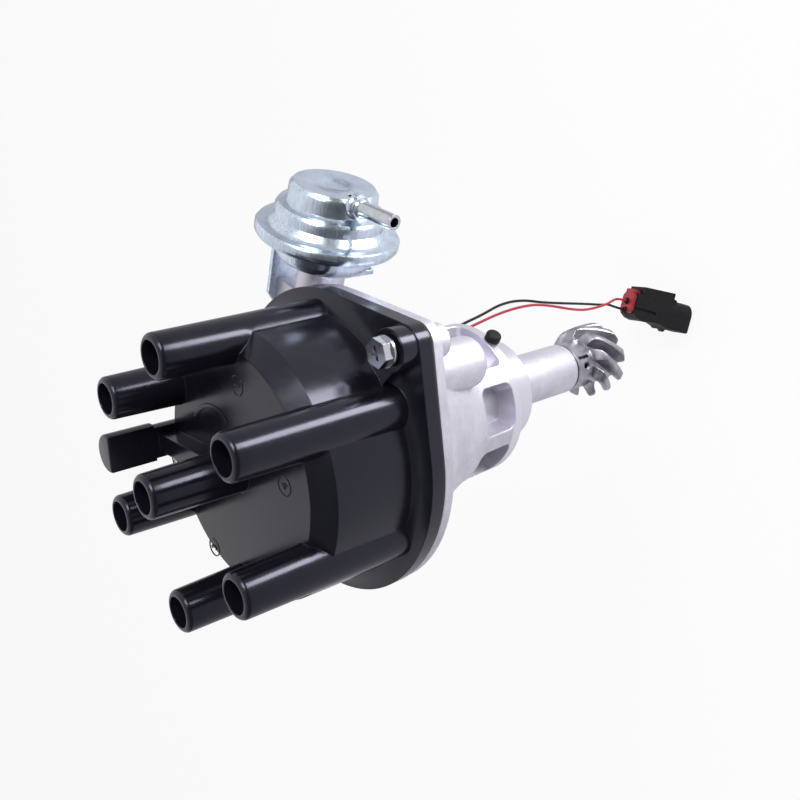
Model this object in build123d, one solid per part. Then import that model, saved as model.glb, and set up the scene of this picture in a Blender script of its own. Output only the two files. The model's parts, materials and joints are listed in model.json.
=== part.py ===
from build123d import *
import math
import os

# Ignition distributor for a six-cylinder engine: cap up, drive gear down.
# Millimetres. Z is the shaft's axis. Z = 0 is the face of the mounting disc that seats on the engine,
# and the turned pilot below it enters the engine's bore.

os.makedirs("parts", exist_ok=True)

# ---------------------------------------------------------------- driving dimensions
# Housing
SEAT_R = 28.9            # mounting disc
SEAT_T = 4.3
PILOT_R = 20.46
PILOT_L = 15.7
SHANK_R = 10.35
SHANK_END = -56.0
BOWL_LOW = 20.0          # underside of the bowl
BOWL_LOW_R = 29.6
BOWL_WAIST_R = 37.2      # outer radius half way up
BOWL_WAIST_Z = 41.0
BOWL_TOP_R = 48.8
BOWL_WALL = 2.9
BOWL_FLOOR = 24.0
CORE_R = 21.0            # between the disc and the bowl, at the bottom of the windows
RIB_ANGLES = (-152, -104, -56.5, 8, 58, 112, 158)
RIB_W = 5.6
WINDOW_CORNER = 3.0
BUSH_R = 7.25
LOWER_BUSH = (-54.0, -38.0)
UPPER_BUSH = (-8.0, 14.0)
SEAL_R = 9.0
RIM_PLUG_ANGLE = -28.0   # a rubber plug in the mounting disc's rim
RIM_PLUG_R = 1.3
RIM_PLUG_DEPTH = 4.0
FLANGE_R = 52.0
FLANGE_T = 3.5
JOINT_Z = 62.0           # the housing's upper face, under the gasket
EAR_R = 7.0              # the two screw ears
EAR_RING = 57.0
EAR_ANGLES = (-45.0, 135.0)
SCREW_R = 2.5            # M5
GASKET_T = 0.6

# Cap
CAP_Z = JOINT_Z + GASKET_T
CAP_FLANGE_T = 5.0
CAP_WALL_R = 45.0
CAP_WALL_LOW_Z = 69.8
CAP_WALL_TOP_Z = 97.3
CAP_FACE_R = 39.2
CAP_FACE_Z = 102.8
CAP_EAR_TOP = 73.3
TOWER_RING = 41.0
TOWER_ANGLES = (0, 60, 120, 180, 240, 300)
TOWER_TIP_Z = 127.3
TOWER_TIP_R = 7.02
TOWER_FOOT_R = 8.1
CENTRE_TIP_Z = 134.5
SOCKET_R = 5.15
SOCKET_DEPTH = 24.0
LIP_R = 1.6              # rounding of a tower's mouth
TERMINAL_R = 2.5
CHAMBER_R = 42.5         # around the rotor
CHAMBER_TOP = 84.0
ROOF_R = 36.5            # the thicker upper wall holds the terminals
ROOF_Z = 97.4
BRUSH_R = 2.5
BRUSH_TIP_Z = 84.4
BRUSH_TRAVEL = 0.8

# Drive line
SHAFT_R = 5.5
RUN_CLEAR = 0.03         # radial running clearance
SHAFT_TOP = 71.0
GEAR_TOP = -57.0
GEAR_COLLAR_L = 10.2
GEAR_L = 17.0
GEAR_R = 15.6
GEAR_ROOT_R = 10.2
GEAR_TEETH = 9
GEAR_TWIST = 62.0        # degrees over the toothed length
GEAR_TIP_ROUND = 1.6
CLIP_Z = 69.2            # the sleeve's clip, in its groove
ROLL_PIN_Z = GEAR_TOP - 5.4
ROLL_PIN_R = 1.75
ROLL_PIN_ANGLE = -78.0
SLEEVE_R = 8.0
SLEEVE_Z = 34.2
SLEEVE_TOP = 74.0
CAM_PLATE_R = 14.9
CAM_PLATE_T = 2.0
WEIGHT_PIVOT_R = 19.0
WEIGHT_PIN_RING = 10.0   # where the weights' drive pins work in the cam plate
WEIGHT_Z = 29.4
WEIGHT_T = 4.2
WEIGHT_R = 23.5
WEIGHT_BASE_Z = 27.0
WEIGHT_BASE_R = 25.0
SPRING_Z = 38.8
SPRING_POST = (22.5, 118.0)   # on the weight base: radius, angle
SPRING_STUD = (13.0, 172.0)   # on the cam plate
SPRING_R = 1.7

# Pick-up
FIXED_PLATE_Z = 44.6
FIXED_PLATE_T = 1.8
FIXED_PLATE_R = 35.2
COLLAR_R = 15.5          # the swinging plate turns on this collar
SWING_PLATE_Z = 48.7
SWING_PLATE_T = 1.8
SWING_PLATE_R = 37.0
PLATE_SCREW_RING = 31.4
PLATE_SCREW_ANGLES = (-20.0, 100.0, 220.0)
RELUCTOR_R = 13.2
RELUCTOR_Z = 53.0
RELUCTOR_T = 8.0
PICKUP_ANGLE = -150.0
POLE_GAP = 0.5
POLE_Z = 57.0

# Vacuum unit: its axis is square to the shaft and passes to one side of it
VAC_ANGLE = -18.0
VAC_OFFSET = 35.1
VAC_Z = 51.8
BOSS_R = 8.4
BOSS_END = 48.0          # distances along the unit's own axis
BRACKET_T = 1.6
BRACKET_LEG = 18.4       # inner face of the leg on the housing's pad
BRACKET_TOP = 7.5
BRACKET_BEND = 2.8
CLAMP_S = 59.4           # the diaphragm's clamped rim
RIM_R = 24.6
CAN_R = 15.3
CAN_TOP = 76.2
DISH = (6.4, 1.2)        # radius and depth of the shallow dish in the can's end
SHEET_T = 1.0
ROD_PIN_ANGLE = 5.0      # the plate's pin leads the square position by this, with no vacuum
ROD_EYE_CLEAR = 0.35
NIPPLE_R = 2.5
NIPPLE_S = 72.7
NIPPLE_REACH = 32.7
BRACKET_SCREWS = ((-8.5, 25.0), (0.0, 30.0))   # up and along, in the unit's frame

# Lead
WIRE_R = 0.65
GROMMET_ANGLE = 105.0
GROMMET_Z = 53.5
LEAD_START = 54.0        # the grommet's outer end, from the shaft's axis
CONNECTOR_START = (3.4, 49.6, -175.8)
CONNECTOR_END = (-9.4, 32.1, -211.6)
CONNECTOR_L = 38.6
WIRE_PLACES = (-4.2, 0.8)     # the terminals, across the connector
MOUTH_MID = -1.0

LOW = (Align.CENTER, Align.CENTER, Align.MIN)


# ---------------------------------------------------------------- helpers
def ring(radius, angle, z=0.0):
    a = math.radians(angle)
    return (radius * math.cos(a), radius * math.sin(a), z)


def disc(radius, low, high, centre=(0, 0)):
    return Pos(centre[0], centre[1], low) * Cylinder(radius, high - low, align=LOW)


def tube(outer, inner, low, high, centre=(0, 0)):
    return disc(outer, low, high, centre) - disc(inner, low - 1, high + 1, centre)


def bar(low, high):
    size = [b - a for a, b in zip(low, high)]
    return Pos(*low) * Box(*size, align=(Align.MIN, Align.MIN, Align.MIN))


def prism(outline, low, high):
    return Pos(0, 0, low) * extrude(outline, high - low)


def lathe(points):
    """A turned solid about Z from its (radius, height) outline."""
    return revolve(Plane.XZ * make_face(Polyline(*points, close=True)), Axis.Z)


def turn(shape, angle):
    return Rot(0, 0, angle) * shape


def eared(radius, ear_radius):
    """The outline shared by the housing's flange, the gasket and the cap's flange."""
    circles = Circle(radius)
    for angle in EAR_ANGLES:
        circles += Pos(*ring(EAR_RING, angle)) * Circle(ear_radius)
    return make_hull(circles.edges())


def save(name, *shapes):
    solids = [solid for shape in shapes for solid in shape.solids()]
    whole = solids[0] if len(solids) == 1 else Compound(children=solids)
    whole.label = name
    export_step(whole, f"parts/{name}.step")


# x points away from the shaft, y up and z out along the rod
VAC_FRAME = Plane(
    origin=ring(VAC_OFFSET, VAC_ANGLE + 90, VAC_Z),
    x_dir=ring(1, VAC_ANGLE + 90),
    z_dir=ring(1, VAC_ANGLE),
)


def vac_disc(radius, start, end, x=0, y=0):
    return VAC_FRAME * Pos(x, y, start) * Cylinder(radius, end - start, align=LOW)


# ---------------------------------------------------------------- housing
def bowl(inset, low, high):
    """The bowl's flared form, or its inside when inset by the wall."""
    low_r = BOWL_LOW_R - inset
    top_r = BOWL_TOP_R - inset
    bend = JOINT_Z - FLANGE_T
    flare = ThreePointArc((low_r, low), (BOWL_WAIST_R - inset, BOWL_WAIST_Z), (top_r, bend))
    rest = Polyline((top_r, bend), (top_r, high), (0, high), (0, low), (low_r, low))
    return revolve(Plane.XZ * make_face(flare + rest), Axis.Z)


def neck():
    """Seven ribs between the mounting disc and the bowl, left by round-cornered windows down to the core."""
    body = lathe([(0, SEAT_T - 1), (SEAT_R, SEAT_T - 1), (SEAT_R, SEAT_T), (BOWL_LOW_R, BOWL_LOW), (BOWL_LOW_R, BOWL_LOW + 1),
                  (0, BOWL_LOW + 1)])
    rib_half = math.degrees(RIB_W / 2 / (CORE_R + 4))
    for first, second in zip(RIB_ANGLES, RIB_ANGLES[1:] + (RIB_ANGLES[0] + 360,)):
        profile = Plane.XZ * (Pos(CORE_R + 10, (SEAT_T + BOWL_LOW) / 2) * Rectangle(20, BOWL_LOW - SEAT_T))
        window = revolve(profile, Axis.Z, second - first - 2 * rib_half)
        corners = [edge for edge in window.edges() if edge.geom_type == GeomType.LINE
                   and abs(edge.bounding_box().size.Z) < 0.01]
        body -= turn(fillet(corners, WINDOW_CORNER), first + rib_half)
    return body


def housing():
    body = bowl(0, BOWL_LOW, JOINT_Z - 1)
    body += prism(eared(FLANGE_R, EAR_R), JOINT_Z - FLANGE_T, JOINT_Z)
    # a tapped boss under each ear, and a half-round column down the bowl
    for angle in EAR_ANGLES:
        column = disc(9.0, BOWL_LOW + 1.5, JOINT_Z - 1, ring(34.0, angle))
        body += fillet(column.edges().group_by(Axis.Z)[0], 4.0)
        body += turn(bar((33, -4.5, 53.0), (56, 4.5, JOINT_Z - 1)), angle)
        body += disc(5.5, 52.8, JOINT_Z - 1, ring(55.8, angle))
    body += neck()
    seat = disc(SEAT_R, 0, SEAT_T)
    body += chamfer(seat.edges().group_by(Axis.Z)[0], 0.4)
    pilot = disc(PILOT_R, -PILOT_L, 1)
    body += chamfer(pilot.edges().group_by(Axis.Z)[0], 0.8)
    body += disc(SHANK_R, SHANK_END, 0)
    # the boss for the vacuum unit, the pad for its bracket and the pad for the grommet
    body += vac_disc(BOSS_R, 22, BOSS_END)
    body += VAC_FRAME * bar((0, -13, 18), (18.4, 4, 34))
    body += turn(Pos(38, 0, GROMMET_Z) * Rot(0, 90, 0) * Cylinder(6.5, 11.5, align=LOW), GROMMET_ANGLE)

    cavity = bowl(BOWL_WALL, BOWL_FLOOR, JOINT_Z + 1)
    for angle in PLATE_SCREW_ANGLES:
        cavity -= disc(3.4, BOWL_FLOOR - 1, FIXED_PLATE_Z, ring(PLATE_SCREW_RING + 0.6, angle))
    body -= cavity
    for angle in PLATE_SCREW_ANGLES:
        body -= disc(1.6, FIXED_PLATE_Z - 8, FIXED_PLATE_Z + 1, ring(PLATE_SCREW_RING, angle))
    # stepped bore for the bushes and the shaft seal
    body -= disc(BUSH_R, SHANK_END - 1, LOWER_BUSH[1])
    body -= disc(6.4, LOWER_BUSH[1] - 1, UPPER_BUSH[0] + 1)
    body -= disc(BUSH_R, UPPER_BUSH[0], UPPER_BUSH[1])
    body -= disc(SEAL_R, UPPER_BUSH[1], BOWL_FLOOR + 1)
    body -= vac_disc(3.4, 15, BOSS_END + 1)
    rim_hole = Pos(SEAT_R - RIM_PLUG_DEPTH, 0, 2.1) * Rot(0, 90, 0) * Cylinder(RIM_PLUG_R, 9, align=LOW)
    body -= turn(rim_hole, RIM_PLUG_ANGLE)
    for angle in EAR_ANGLES:
        body -= disc(SCREW_R, 54.5, JOINT_Z + 1, ring(EAR_RING, angle))
    body -= turn(Pos(30, 0, GROMMET_Z) * Rot(0, 90, 0) * Cylinder(4.0, 25, align=LOW), GROMMET_ANGLE)
    for up, along in BRACKET_SCREWS:
        body -= VAC_FRAME * Pos(9, up, along) * Rot(0, 90, 0) * Cylinder(2.0, 12, align=LOW)
    return body


def cap_gasket():
    sheet = prism(eared(FLANGE_R, EAR_R), JOINT_Z, CAP_Z)
    sheet -= disc(CHAMBER_R + 1.5, JOINT_Z - 1, CAP_Z + 1)
    for angle in EAR_ANGLES:
        sheet -= disc(SCREW_R + 0.3, JOINT_Z - 1, CAP_Z + 1, ring(EAR_RING, angle))
    return sheet


# ---------------------------------------------------------------- cap
def tower(tip_z, foot_z, centre):
    """A tapered tower with a rounded lip; its socket is cut later."""
    height = tip_z - foot_z
    foot_r = TOWER_TIP_R + (TOWER_FOOT_R - TOWER_TIP_R) * height / (TOWER_TIP_Z - CAP_WALL_LOW_Z)
    cone = Pos(centre[0], centre[1], foot_z) * Cone(foot_r, TOWER_TIP_R, height, align=LOW)
    return fillet(cone.edges().group_by(Axis.Z)[-1], LIP_R)


def locating_peg():
    """A flat-sided peg on a stem, with a web back to the centre tower."""
    head = disc(6.6, 110.5, TOWER_TIP_Z - 0.4, (0, TOWER_RING))
    head -= bar((-10, TOWER_RING - 10, 105), (10, TOWER_RING - 2.2, 130))
    head = fillet(head.edges().group_by(Axis.Z)[-1], 0.8)
    stem = disc(5.8, CAP_FACE_Z - 8, 111, (0, TOWER_RING))
    stem -= bar((-10, TOWER_RING - 10, 90), (10, TOWER_RING - 2.2, 130))
    web = bar((-3.2, 6, CAP_FACE_Z - 1), (3.2, TOWER_RING, 109.0))
    return head + stem + web


def distributor_cap():
    skirt = prism(eared(FLANGE_R + 0.3, EAR_R), CAP_Z, CAP_Z + CAP_FLANGE_T)
    shell = lathe([
        (0, CAP_Z), (FLANGE_R - 1, CAP_Z), (FLANGE_R - 0.2, CAP_Z + CAP_FLANGE_T),
        (CAP_WALL_R + 0.6, CAP_WALL_LOW_Z), (CAP_WALL_R, CAP_WALL_TOP_Z), (CAP_FACE_R, CAP_FACE_Z), (0, CAP_FACE_Z),
    ])
    body = skirt + shell
    for angle in EAR_ANGLES:
        body += disc(6.6, CAP_Z, CAP_EAR_TOP, ring(EAR_RING, angle))
        body += turn(bar((40, -5.0, CAP_Z), (EAR_RING, 5.0, CAP_EAR_TOP - 1.2)), angle)
    for angle in TOWER_ANGLES:
        body += tower(TOWER_TIP_Z, CAP_Z + 2, ring(TOWER_RING, angle))
    body += tower(CENTRE_TIP_Z, CAP_FACE_Z - 2, (0, 0))
    body += locating_peg()

    # inside: a wide chamber for the rotor under a narrower roof, with the brush's boss in the middle
    body -= disc(CHAMBER_R, CAP_Z - 1, CHAMBER_TOP)
    body -= tube(ROOF_R, 6.2, CHAMBER_TOP - 1, ROOF_Z)
    body -= disc(6.2, CAP_Z - 1, 88.0)
    body -= disc(BRUSH_R + 0.06, 87, 104.0)
    for angle in TOWER_ANGLES:
        x, y, _ = ring(TOWER_RING, angle)
        body -= disc(SOCKET_R, TOWER_TIP_Z - SOCKET_DEPTH, TOWER_TIP_Z + 1, (x, y))
        body -= disc(TERMINAL_R, CHAMBER_TOP - 1, TOWER_TIP_Z - SOCKET_DEPTH + 1, (x, y))
    body -= disc(SOCKET_R, CENTRE_TIP_Z - SOCKET_DEPTH, CENTRE_TIP_Z + 1)
    body -= disc(TERMINAL_R, 103.0, CENTRE_TIP_Z - SOCKET_DEPTH + 1)
    for angle in EAR_ANGLES:
        body -= disc(SCREW_R + 0.3, CAP_Z - 1, CAP_EAR_TOP + 1, ring(EAR_RING, angle))
    return body


def cap_terminals():
    """Six posts, faced off on the side that the rotor passes."""
    top = TOWER_TIP_Z - SOCKET_DEPTH
    posts = []
    for angle in TOWER_ANGLES:
        post = disc(TERMINAL_R, 77.5, top, ring(TOWER_RING, angle))
        post -= tube(60, CHAMBER_R - 0.2, 77, CHAMBER_TOP)
        posts.append(post)
    return posts


def cap_screw(angle):
    """M5 hexagon screw with a flange and a cross recess, and its tapped length."""
    centre = ring(EAR_RING, angle)
    head_low = CAP_EAR_TOP + 1.0
    head = prism(RegularPolygon(4.62, 6, rotation=15), head_low + 0.9, head_low + 3.9)
    head += disc(4.9, head_low, head_low + 0.9)
    for quarter in (0, 90):
        head -= turn(bar((-2.3, -0.5, head_low + 2.2), (2.3, 0.5, head_low + 5)), quarter + 20)
    return Pos(centre[0], centre[1], 0) * head + disc(SCREW_R - 0.05, 56, head_low + 0.1, centre)


# ---------------------------------------------------------------- drive line
def main_shaft():
    bottom = GEAR_TOP - GEAR_COLLAR_L - GEAR_L
    shaft = disc(SHAFT_R, bottom + 0.6, SHAFT_TOP)
    shaft = chamfer(shaft.edges().group_by(Axis.Z)[0] + shaft.edges().group_by(Axis.Z)[-1], 0.6)
    shaft -= tube(8, SHAFT_R - 0.7, CLIP_Z, CLIP_Z + 1.0)
    return shaft - roll_pin_hole()


def roll_pin_hole():
    return turn(Pos(-20, 0, ROLL_PIN_Z) * Rot(0, 90, 0) * Cylinder(ROLL_PIN_R, 40, align=LOW), ROLL_PIN_ANGLE)


def roll_pin():
    """A split spring pin through the gear's collar and the shaft."""
    body = Pos(-9.6, 0, ROLL_PIN_Z) * Rot(0, 90, 0) * Cylinder(ROLL_PIN_R, 19.2, align=LOW)
    body -= Pos(-10, 0, ROLL_PIN_Z) * Rot(0, 90, 0) * Cylinder(ROLL_PIN_R - 0.6, 20, align=LOW)
    body -= bar((-10, -0.3, ROLL_PIN_Z), (10, 0.3, ROLL_PIN_Z + 3))
    return turn(body, ROLL_PIN_ANGLE)


def gear_outline():
    """Nine coarse rounded teeth."""
    pitch = 360 / GEAR_TEETH
    points = []
    flank = ((0.36, GEAR_ROOT_R), (0.28, 12.6), (0.2, GEAR_R))
    for tooth in range(GEAR_TEETH):
        points += [ring(radius, (tooth - share) * pitch)[:2] for share, radius in flank]
        points += [ring(radius, (tooth + share) * pitch)[:2] for share, radius in reversed(flank)]
    outline = make_face(Polyline(*points, close=True))
    tips = [v for v in outline.vertices() if Vector(v.X, v.Y, 0).length > GEAR_R - 0.1]
    return fillet(tips, GEAR_TIP_ROUND)


def drive_gear():
    low = GEAR_TOP - GEAR_COLLAR_L - GEAR_L
    face = gear_outline().faces()[0]
    teeth = Solid.extrude_linear_with_rotation(face, (0, 0, 0), (0, 0, GEAR_L), GEAR_TWIST)
    top = low + GEAR_L
    rounded = lathe([(0, low), (GEAR_ROOT_R + 0.6, low), (GEAR_R - 1.6, low + 0.7), (GEAR_R, low + 2.5), (GEAR_R, top - 4.0),
                     (GEAR_R - 1.2, top - 1.8), (GEAR_ROOT_R + 1.6, top - 0.3), (GEAR_ROOT_R - 0.4, top), (0, top)])
    gear = (Pos(0, 0, low) * teeth) & rounded
    gear += disc(SHANK_R - 0.1, GEAR_TOP - GEAR_COLLAR_L - 2, GEAR_TOP)
    gear -= disc(SHAFT_R, low - 1, GEAR_TOP + 1)
    gear -= roll_pin_hole()
    # the assembly slot in the collar's upper edge
    gear -= turn(bar((7.0, -0.7, GEAR_TOP - 8.0), (12, 0.7, GEAR_TOP - 1.5)), ROLL_PIN_ANGLE + 22)
    return gear


def weight_base():
    """The plate that carries the weights' pivots, pressed on the shaft."""
    outline = Circle(WEIGHT_BASE_R) - Pos(0, 26, 0) * Circle(9) - Pos(0, -26, 0) * Circle(9)
    base = prism(outline, WEIGHT_BASE_Z, WEIGHT_BASE_Z + 2)
    base += disc(9.0, 25.0, WEIGHT_BASE_Z)
    for half in (0, 180):
        pivot = ring(WEIGHT_PIVOT_R, half)
        base += disc(2.5, WEIGHT_BASE_Z, 34.8, pivot) - tube(4, 2.0, 33.9, 34.4, pivot)
        base += disc(1.3, WEIGHT_BASE_Z, SPRING_Z + 1.8, ring(SPRING_POST[0], SPRING_POST[1] + half))
    return base - disc(SHAFT_R, 20, 40)


def weight_clip(half):
    x, y, _ = ring(WEIGHT_PIVOT_R, half)
    clip = tube(3.5, 2.02, 33.92, 34.38, (x, y))
    return clip - turn(bar((WEIGHT_PIVOT_R + 0.5, -0.8, 33), (WEIGHT_PIVOT_R + 5, 0.8, 35)), half)


def flyweight(half):
    """A curved weight on its pivot, with a toe that carries the drive pin."""
    sector = make_face(
        ThreePointArc(ring(WEIGHT_R, 8)[:2], ring(WEIGHT_R, 44)[:2], ring(WEIGHT_R, 80)[:2])
        + Line(ring(WEIGHT_R, 80)[:2], ring(12.6, 80)[:2])
        + ThreePointArc(ring(12.6, 80)[:2], ring(12.6, 44)[:2], ring(12.6, 8)[:2])
        + Line(ring(12.6, 8)[:2], ring(WEIGHT_R, 8)[:2])
    )
    eye = Pos(WEIGHT_PIVOT_R, 0) * Circle(4.6)
    toe = make_hull((Pos(WEIGHT_PIN_RING, 0) * Circle(2.9) + Pos(WEIGHT_PIVOT_R, 0) * Circle(4.0)).edges())
    outline = sector + eye + toe
    body = prism(outline, WEIGHT_Z, WEIGHT_Z + WEIGHT_T)
    body -= disc(2.55, WEIGHT_Z - 1, WEIGHT_Z + 9, (WEIGHT_PIVOT_R, 0))
    body += disc(1.5, WEIGHT_Z + WEIGHT_T - 1, SLEEVE_Z + CAM_PLATE_T + 0.6, (WEIGHT_PIN_RING, 0))
    return turn(body, half)


def advance_sleeve():
    """The cam plate and the sleeve that carries the reluctor and the rotor arm."""
    body = disc(CAM_PLATE_R, SLEEVE_Z, SLEEVE_Z + CAM_PLATE_T) + disc(SLEEVE_R, SLEEVE_Z, SLEEVE_TOP)
    for half in (0, 180):
        slot = prism(SlotCenterToCenter(2.2, 3.8), SLEEVE_Z - 1, SLEEVE_Z + 3)
        body -= turn(Pos(WEIGHT_PIN_RING + 0.2, 0, 0) * slot, half)
        body += disc(1.2, SLEEVE_Z, SPRING_Z + 1.8, ring(SPRING_STUD[0], SPRING_STUD[1] + half))
    body -= disc(SHAFT_R + RUN_CLEAR, SLEEVE_Z - 1, SLEEVE_TOP + 1)
    body -= disc(7.0, CLIP_Z - 0.3, SLEEVE_TOP + 1)
    body -= bar((-9, 7.0, 64.0), (9, 9, SLEEVE_TOP + 1))
    return body


def advance_spring(half):
    """A close-wound tension spring, with an eye at each end."""
    post = Vector(*ring(SPRING_POST[0], SPRING_POST[1] + half, SPRING_Z))
    stud = Vector(*ring(SPRING_STUD[0], SPRING_STUD[1] + half, SPRING_Z))
    length = (stud - post).length
    coils, wire = 16, 0.75
    start = (length - coils * wire) / 2
    outline = [(0.5, start)]
    for coil in range(coils):
        outline += [(SPRING_R - wire / 2, start + coil * wire), (SPRING_R, start + (coil + 0.5) * wire)]
    outline += [(SPRING_R - wire / 2, start + coils * wire), (0.5, start + coils * wire)]
    frame = Plane(origin=post, z_dir=stud - post, x_dir=(0, 0, 1))
    body = frame * lathe(outline)
    for s, hole in ((0, 1.6), (length, 1.5)):
        eye = tube(hole + 0.6, hole, SPRING_Z - 0.4, SPRING_Z + 0.4, tuple(post + (stud - post) * (s / length)))
        body += eye
    reach = start + 0.5
    body += frame * bar((-0.4, -0.4, 2.0), (0.4, 0.4, reach))
    body += frame * bar((-0.4, -0.4, length - reach), (0.4, 0.4, length - 1.9))
    return body


# ---------------------------------------------------------------- reluctor, rotor
def reluctor():
    """Six-tooth timing wheel on the sleeve."""
    outline = Circle(10.4)
    for angle in TOWER_ANGLES:
        tooth = Polyline((9.6, -2.0), (RELUCTOR_R, -1.2), (RELUCTOR_R, 1.2), (9.6, 2.0), close=True)
        outline += turn(make_face(tooth), angle)
    return prism(outline, RELUCTOR_Z, RELUCTOR_Z + RELUCTOR_T) - disc(SLEEVE_R, 50, 64)


def rotor_arm():
    """Moulded arm pressed on the sleeve's flat, with a web under the long end."""
    arm = make_hull((Circle(12.0) + Pos(27.9, 0) * Circle(5.0)).edges()) + make_hull(
        (Circle(12.0) + Pos(-14, 0) * Circle(5.0)).edges())
    body = prism(arm, 77.0, 80.4) + disc(11.5, 64.0, 78.0)
    body += bar((0, -1.6, 66.0), (24, 1.6, 78.0)) - lathe([(11, 65), (26, 65), (26, 75)])
    bore = disc(SLEEVE_R, 63, SLEEVE_TOP) - bar((-9, 7.0, 60), (9, 9, SLEEVE_TOP + 1))
    body -= bore
    body -= bar((6, -2.6, 79.4), (40, 2.6, 82))
    return body


def rotor_electrode():
    strip = bar((6, -2.6, 79.4), (36.6, 2.6, 81.0))
    tip = bar((33.0, -3.6, 77.6), (37.7, 3.6, 81.0)) & disc(37.7, 77, 82)
    tip -= disc(34.2, 77, 79.4)
    return strip + tip


def contact_spring():
    """A leaf from the electrode to the middle, where the brush rides."""
    leaf = Polyline((10.0, 81.0), (4.5, 81.0), (1.5, 83.6), (-3.2, 83.6), (-3.2, 84.0),
                    (1.7, 84.0), (4.8, 81.5), (10.0, 81.5), close=True)
    return extrude(Plane.XZ * make_face(leaf), 2.2, both=True)


def carbon_brush():
    brush = disc(BRUSH_R, 84.0, 92.0)
    return chamfer(brush.edges().group_by(Axis.Z)[0], 0.5)


def brush_spring():
    return compression_spring(2.0, 0.45, 92.0, 102.6, 6)


def compression_spring(radius, wire, low, high, turns):
    """An open coil between two seats."""
    length = high - low - wire
    path = Pos(0, 0, low + wire / 2) * Helix(length / turns, length, radius - wire / 2)
    section = Plane(origin=path @ 0, z_dir=path % 0) * Circle(wire / 2)
    return sweep(section, path)


def centre_terminal():
    return disc(TERMINAL_R, 103.0, CENTRE_TIP_Z - SOCKET_DEPTH) + disc(1.2, 100.6, 103.2)


# ---------------------------------------------------------------- pick-up
def fixed_plate():
    body = disc(FIXED_PLATE_R, FIXED_PLATE_Z, FIXED_PLATE_Z + FIXED_PLATE_T)
    body += disc(COLLAR_R, FIXED_PLATE_Z, 50.9)
    body -= disc(14.0, FIXED_PLATE_Z - 1, 52)
    for angle in PLATE_SCREW_ANGLES:
        body -= disc(1.7, FIXED_PLATE_Z - 1, FIXED_PLATE_Z + 3, ring(PLATE_SCREW_RING, angle))
        body -= disc(4.5, FIXED_PLATE_Z - 1, FIXED_PLATE_Z + 3, ring(24.5, angle + 60))
    return body


def plate_screw(angle):
    x, y, _ = ring(PLATE_SCREW_RING, angle)
    top = FIXED_PLATE_Z + FIXED_PLATE_T
    head = disc(2.7, top, top + 1.7, (x, y)) - bar((x - 3, y - 0.4, top + 1.0), (x + 3, y + 0.4, top + 3))
    return head + disc(1.55, FIXED_PLATE_Z - 6, top + 0.1, (x, y))


def glide_button(angle):
    top = FIXED_PLATE_Z + FIXED_PLATE_T
    button = disc(2.6, top, SWING_PLATE_Z - 0.12, ring(22.0, angle))
    return fillet(button.edges().group_by(Axis.Z)[-1], 0.5)


def plate_retainer():
    return tube(17.6, 12.4, 50.9, 51.7)


def rod_pin_centre():
    return ring(VAC_OFFSET, VAC_ANGLE + 90 + ROD_PIN_ANGLE)


def swing_plate():
    body = disc(SWING_PLATE_R, SWING_PLATE_Z, SWING_PLATE_Z + SWING_PLATE_T)
    body -= disc(COLLAR_R + RUN_CLEAR, SWING_PLATE_Z - 1, 52)
    for angle in (-60, 0, 130):
        body -= turn(prism(Pos(27, 0) * SlotOverall(15, 9, rotation=90), SWING_PLATE_Z - 1, 52), angle)
    for x, y in pickup_holes():
        body -= disc(1.45, SWING_PLATE_Z - 1, 52, (x, y))
    body += disc(1.5, SWING_PLATE_Z, 53.9, rod_pin_centre())
    return body


def pickup_holes():
    return [ring(math.hypot(31.6, side), PICKUP_ANGLE + math.degrees(math.atan2(side, 31.6)))[:2]
            for side in (-9.0, 9.0)]


def pickup_bracket():
    top = SWING_PLATE_Z + SWING_PLATE_T
    body = bar((19.5, -5, top), (35.4, 5, top + 0.8)) + bar((28.5, -12, top), (35.0, 12, top + 0.8))
    body += bar((34.0, -5, top), (35.4, 5, 61.0))
    body = turn(body, PICKUP_ANGLE)
    for x, y in pickup_holes():
        body -= disc(1.45, top - 1, top + 2, (x, y))
    return body


def pickup_magnet():
    return turn(bar((30.0, -4.4, 51.4), (34.0, 4.4, 60.6)), PICKUP_ANGLE)


def pole_piece():
    nose = RELUCTOR_R + POLE_GAP
    blade = bar((nose - 1, -2.6, POLE_Z - 1.4), (29.0, 2.6, POLE_Z + 1.4)) - disc(nose, 50, 64)
    return turn(blade + bar((28.6, -4.4, 52.4), (30.0, 4.4, 60.6)), PICKUP_ANGLE)


def radial(radius, start, end):
    return Pos(start, 0, POLE_Z) * Rot(0, 90, 0) * Cylinder(radius, end - start, align=LOW)


def pickup_bobbin():
    body = radial(5.5, 18.4, 19.4) + radial(3.4, 18.4, 27.6) + radial(5.5, 26.6, 27.6)
    body -= bar((18, -2.6, POLE_Z - 1.4), (28, 2.6, POLE_Z + 1.4))
    return turn(body, PICKUP_ANGLE)


def pickup_coil():
    return turn(radial(5.1, 19.4, 26.6) - radial(3.4, 19.0, 27.0), PICKUP_ANGLE)


def pickup_screw(centre):
    top = SWING_PLATE_Z + SWING_PLATE_T + 0.8
    head = disc(2.5, top, top + 1.8, centre)
    head -= bar((centre[0] - 3, centre[1] - 0.35, top + 1.1), (centre[0] + 3, centre[1] + 0.35, top + 3))
    return head + disc(1.42, SWING_PLATE_Z, top + 0.1, centre)


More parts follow.
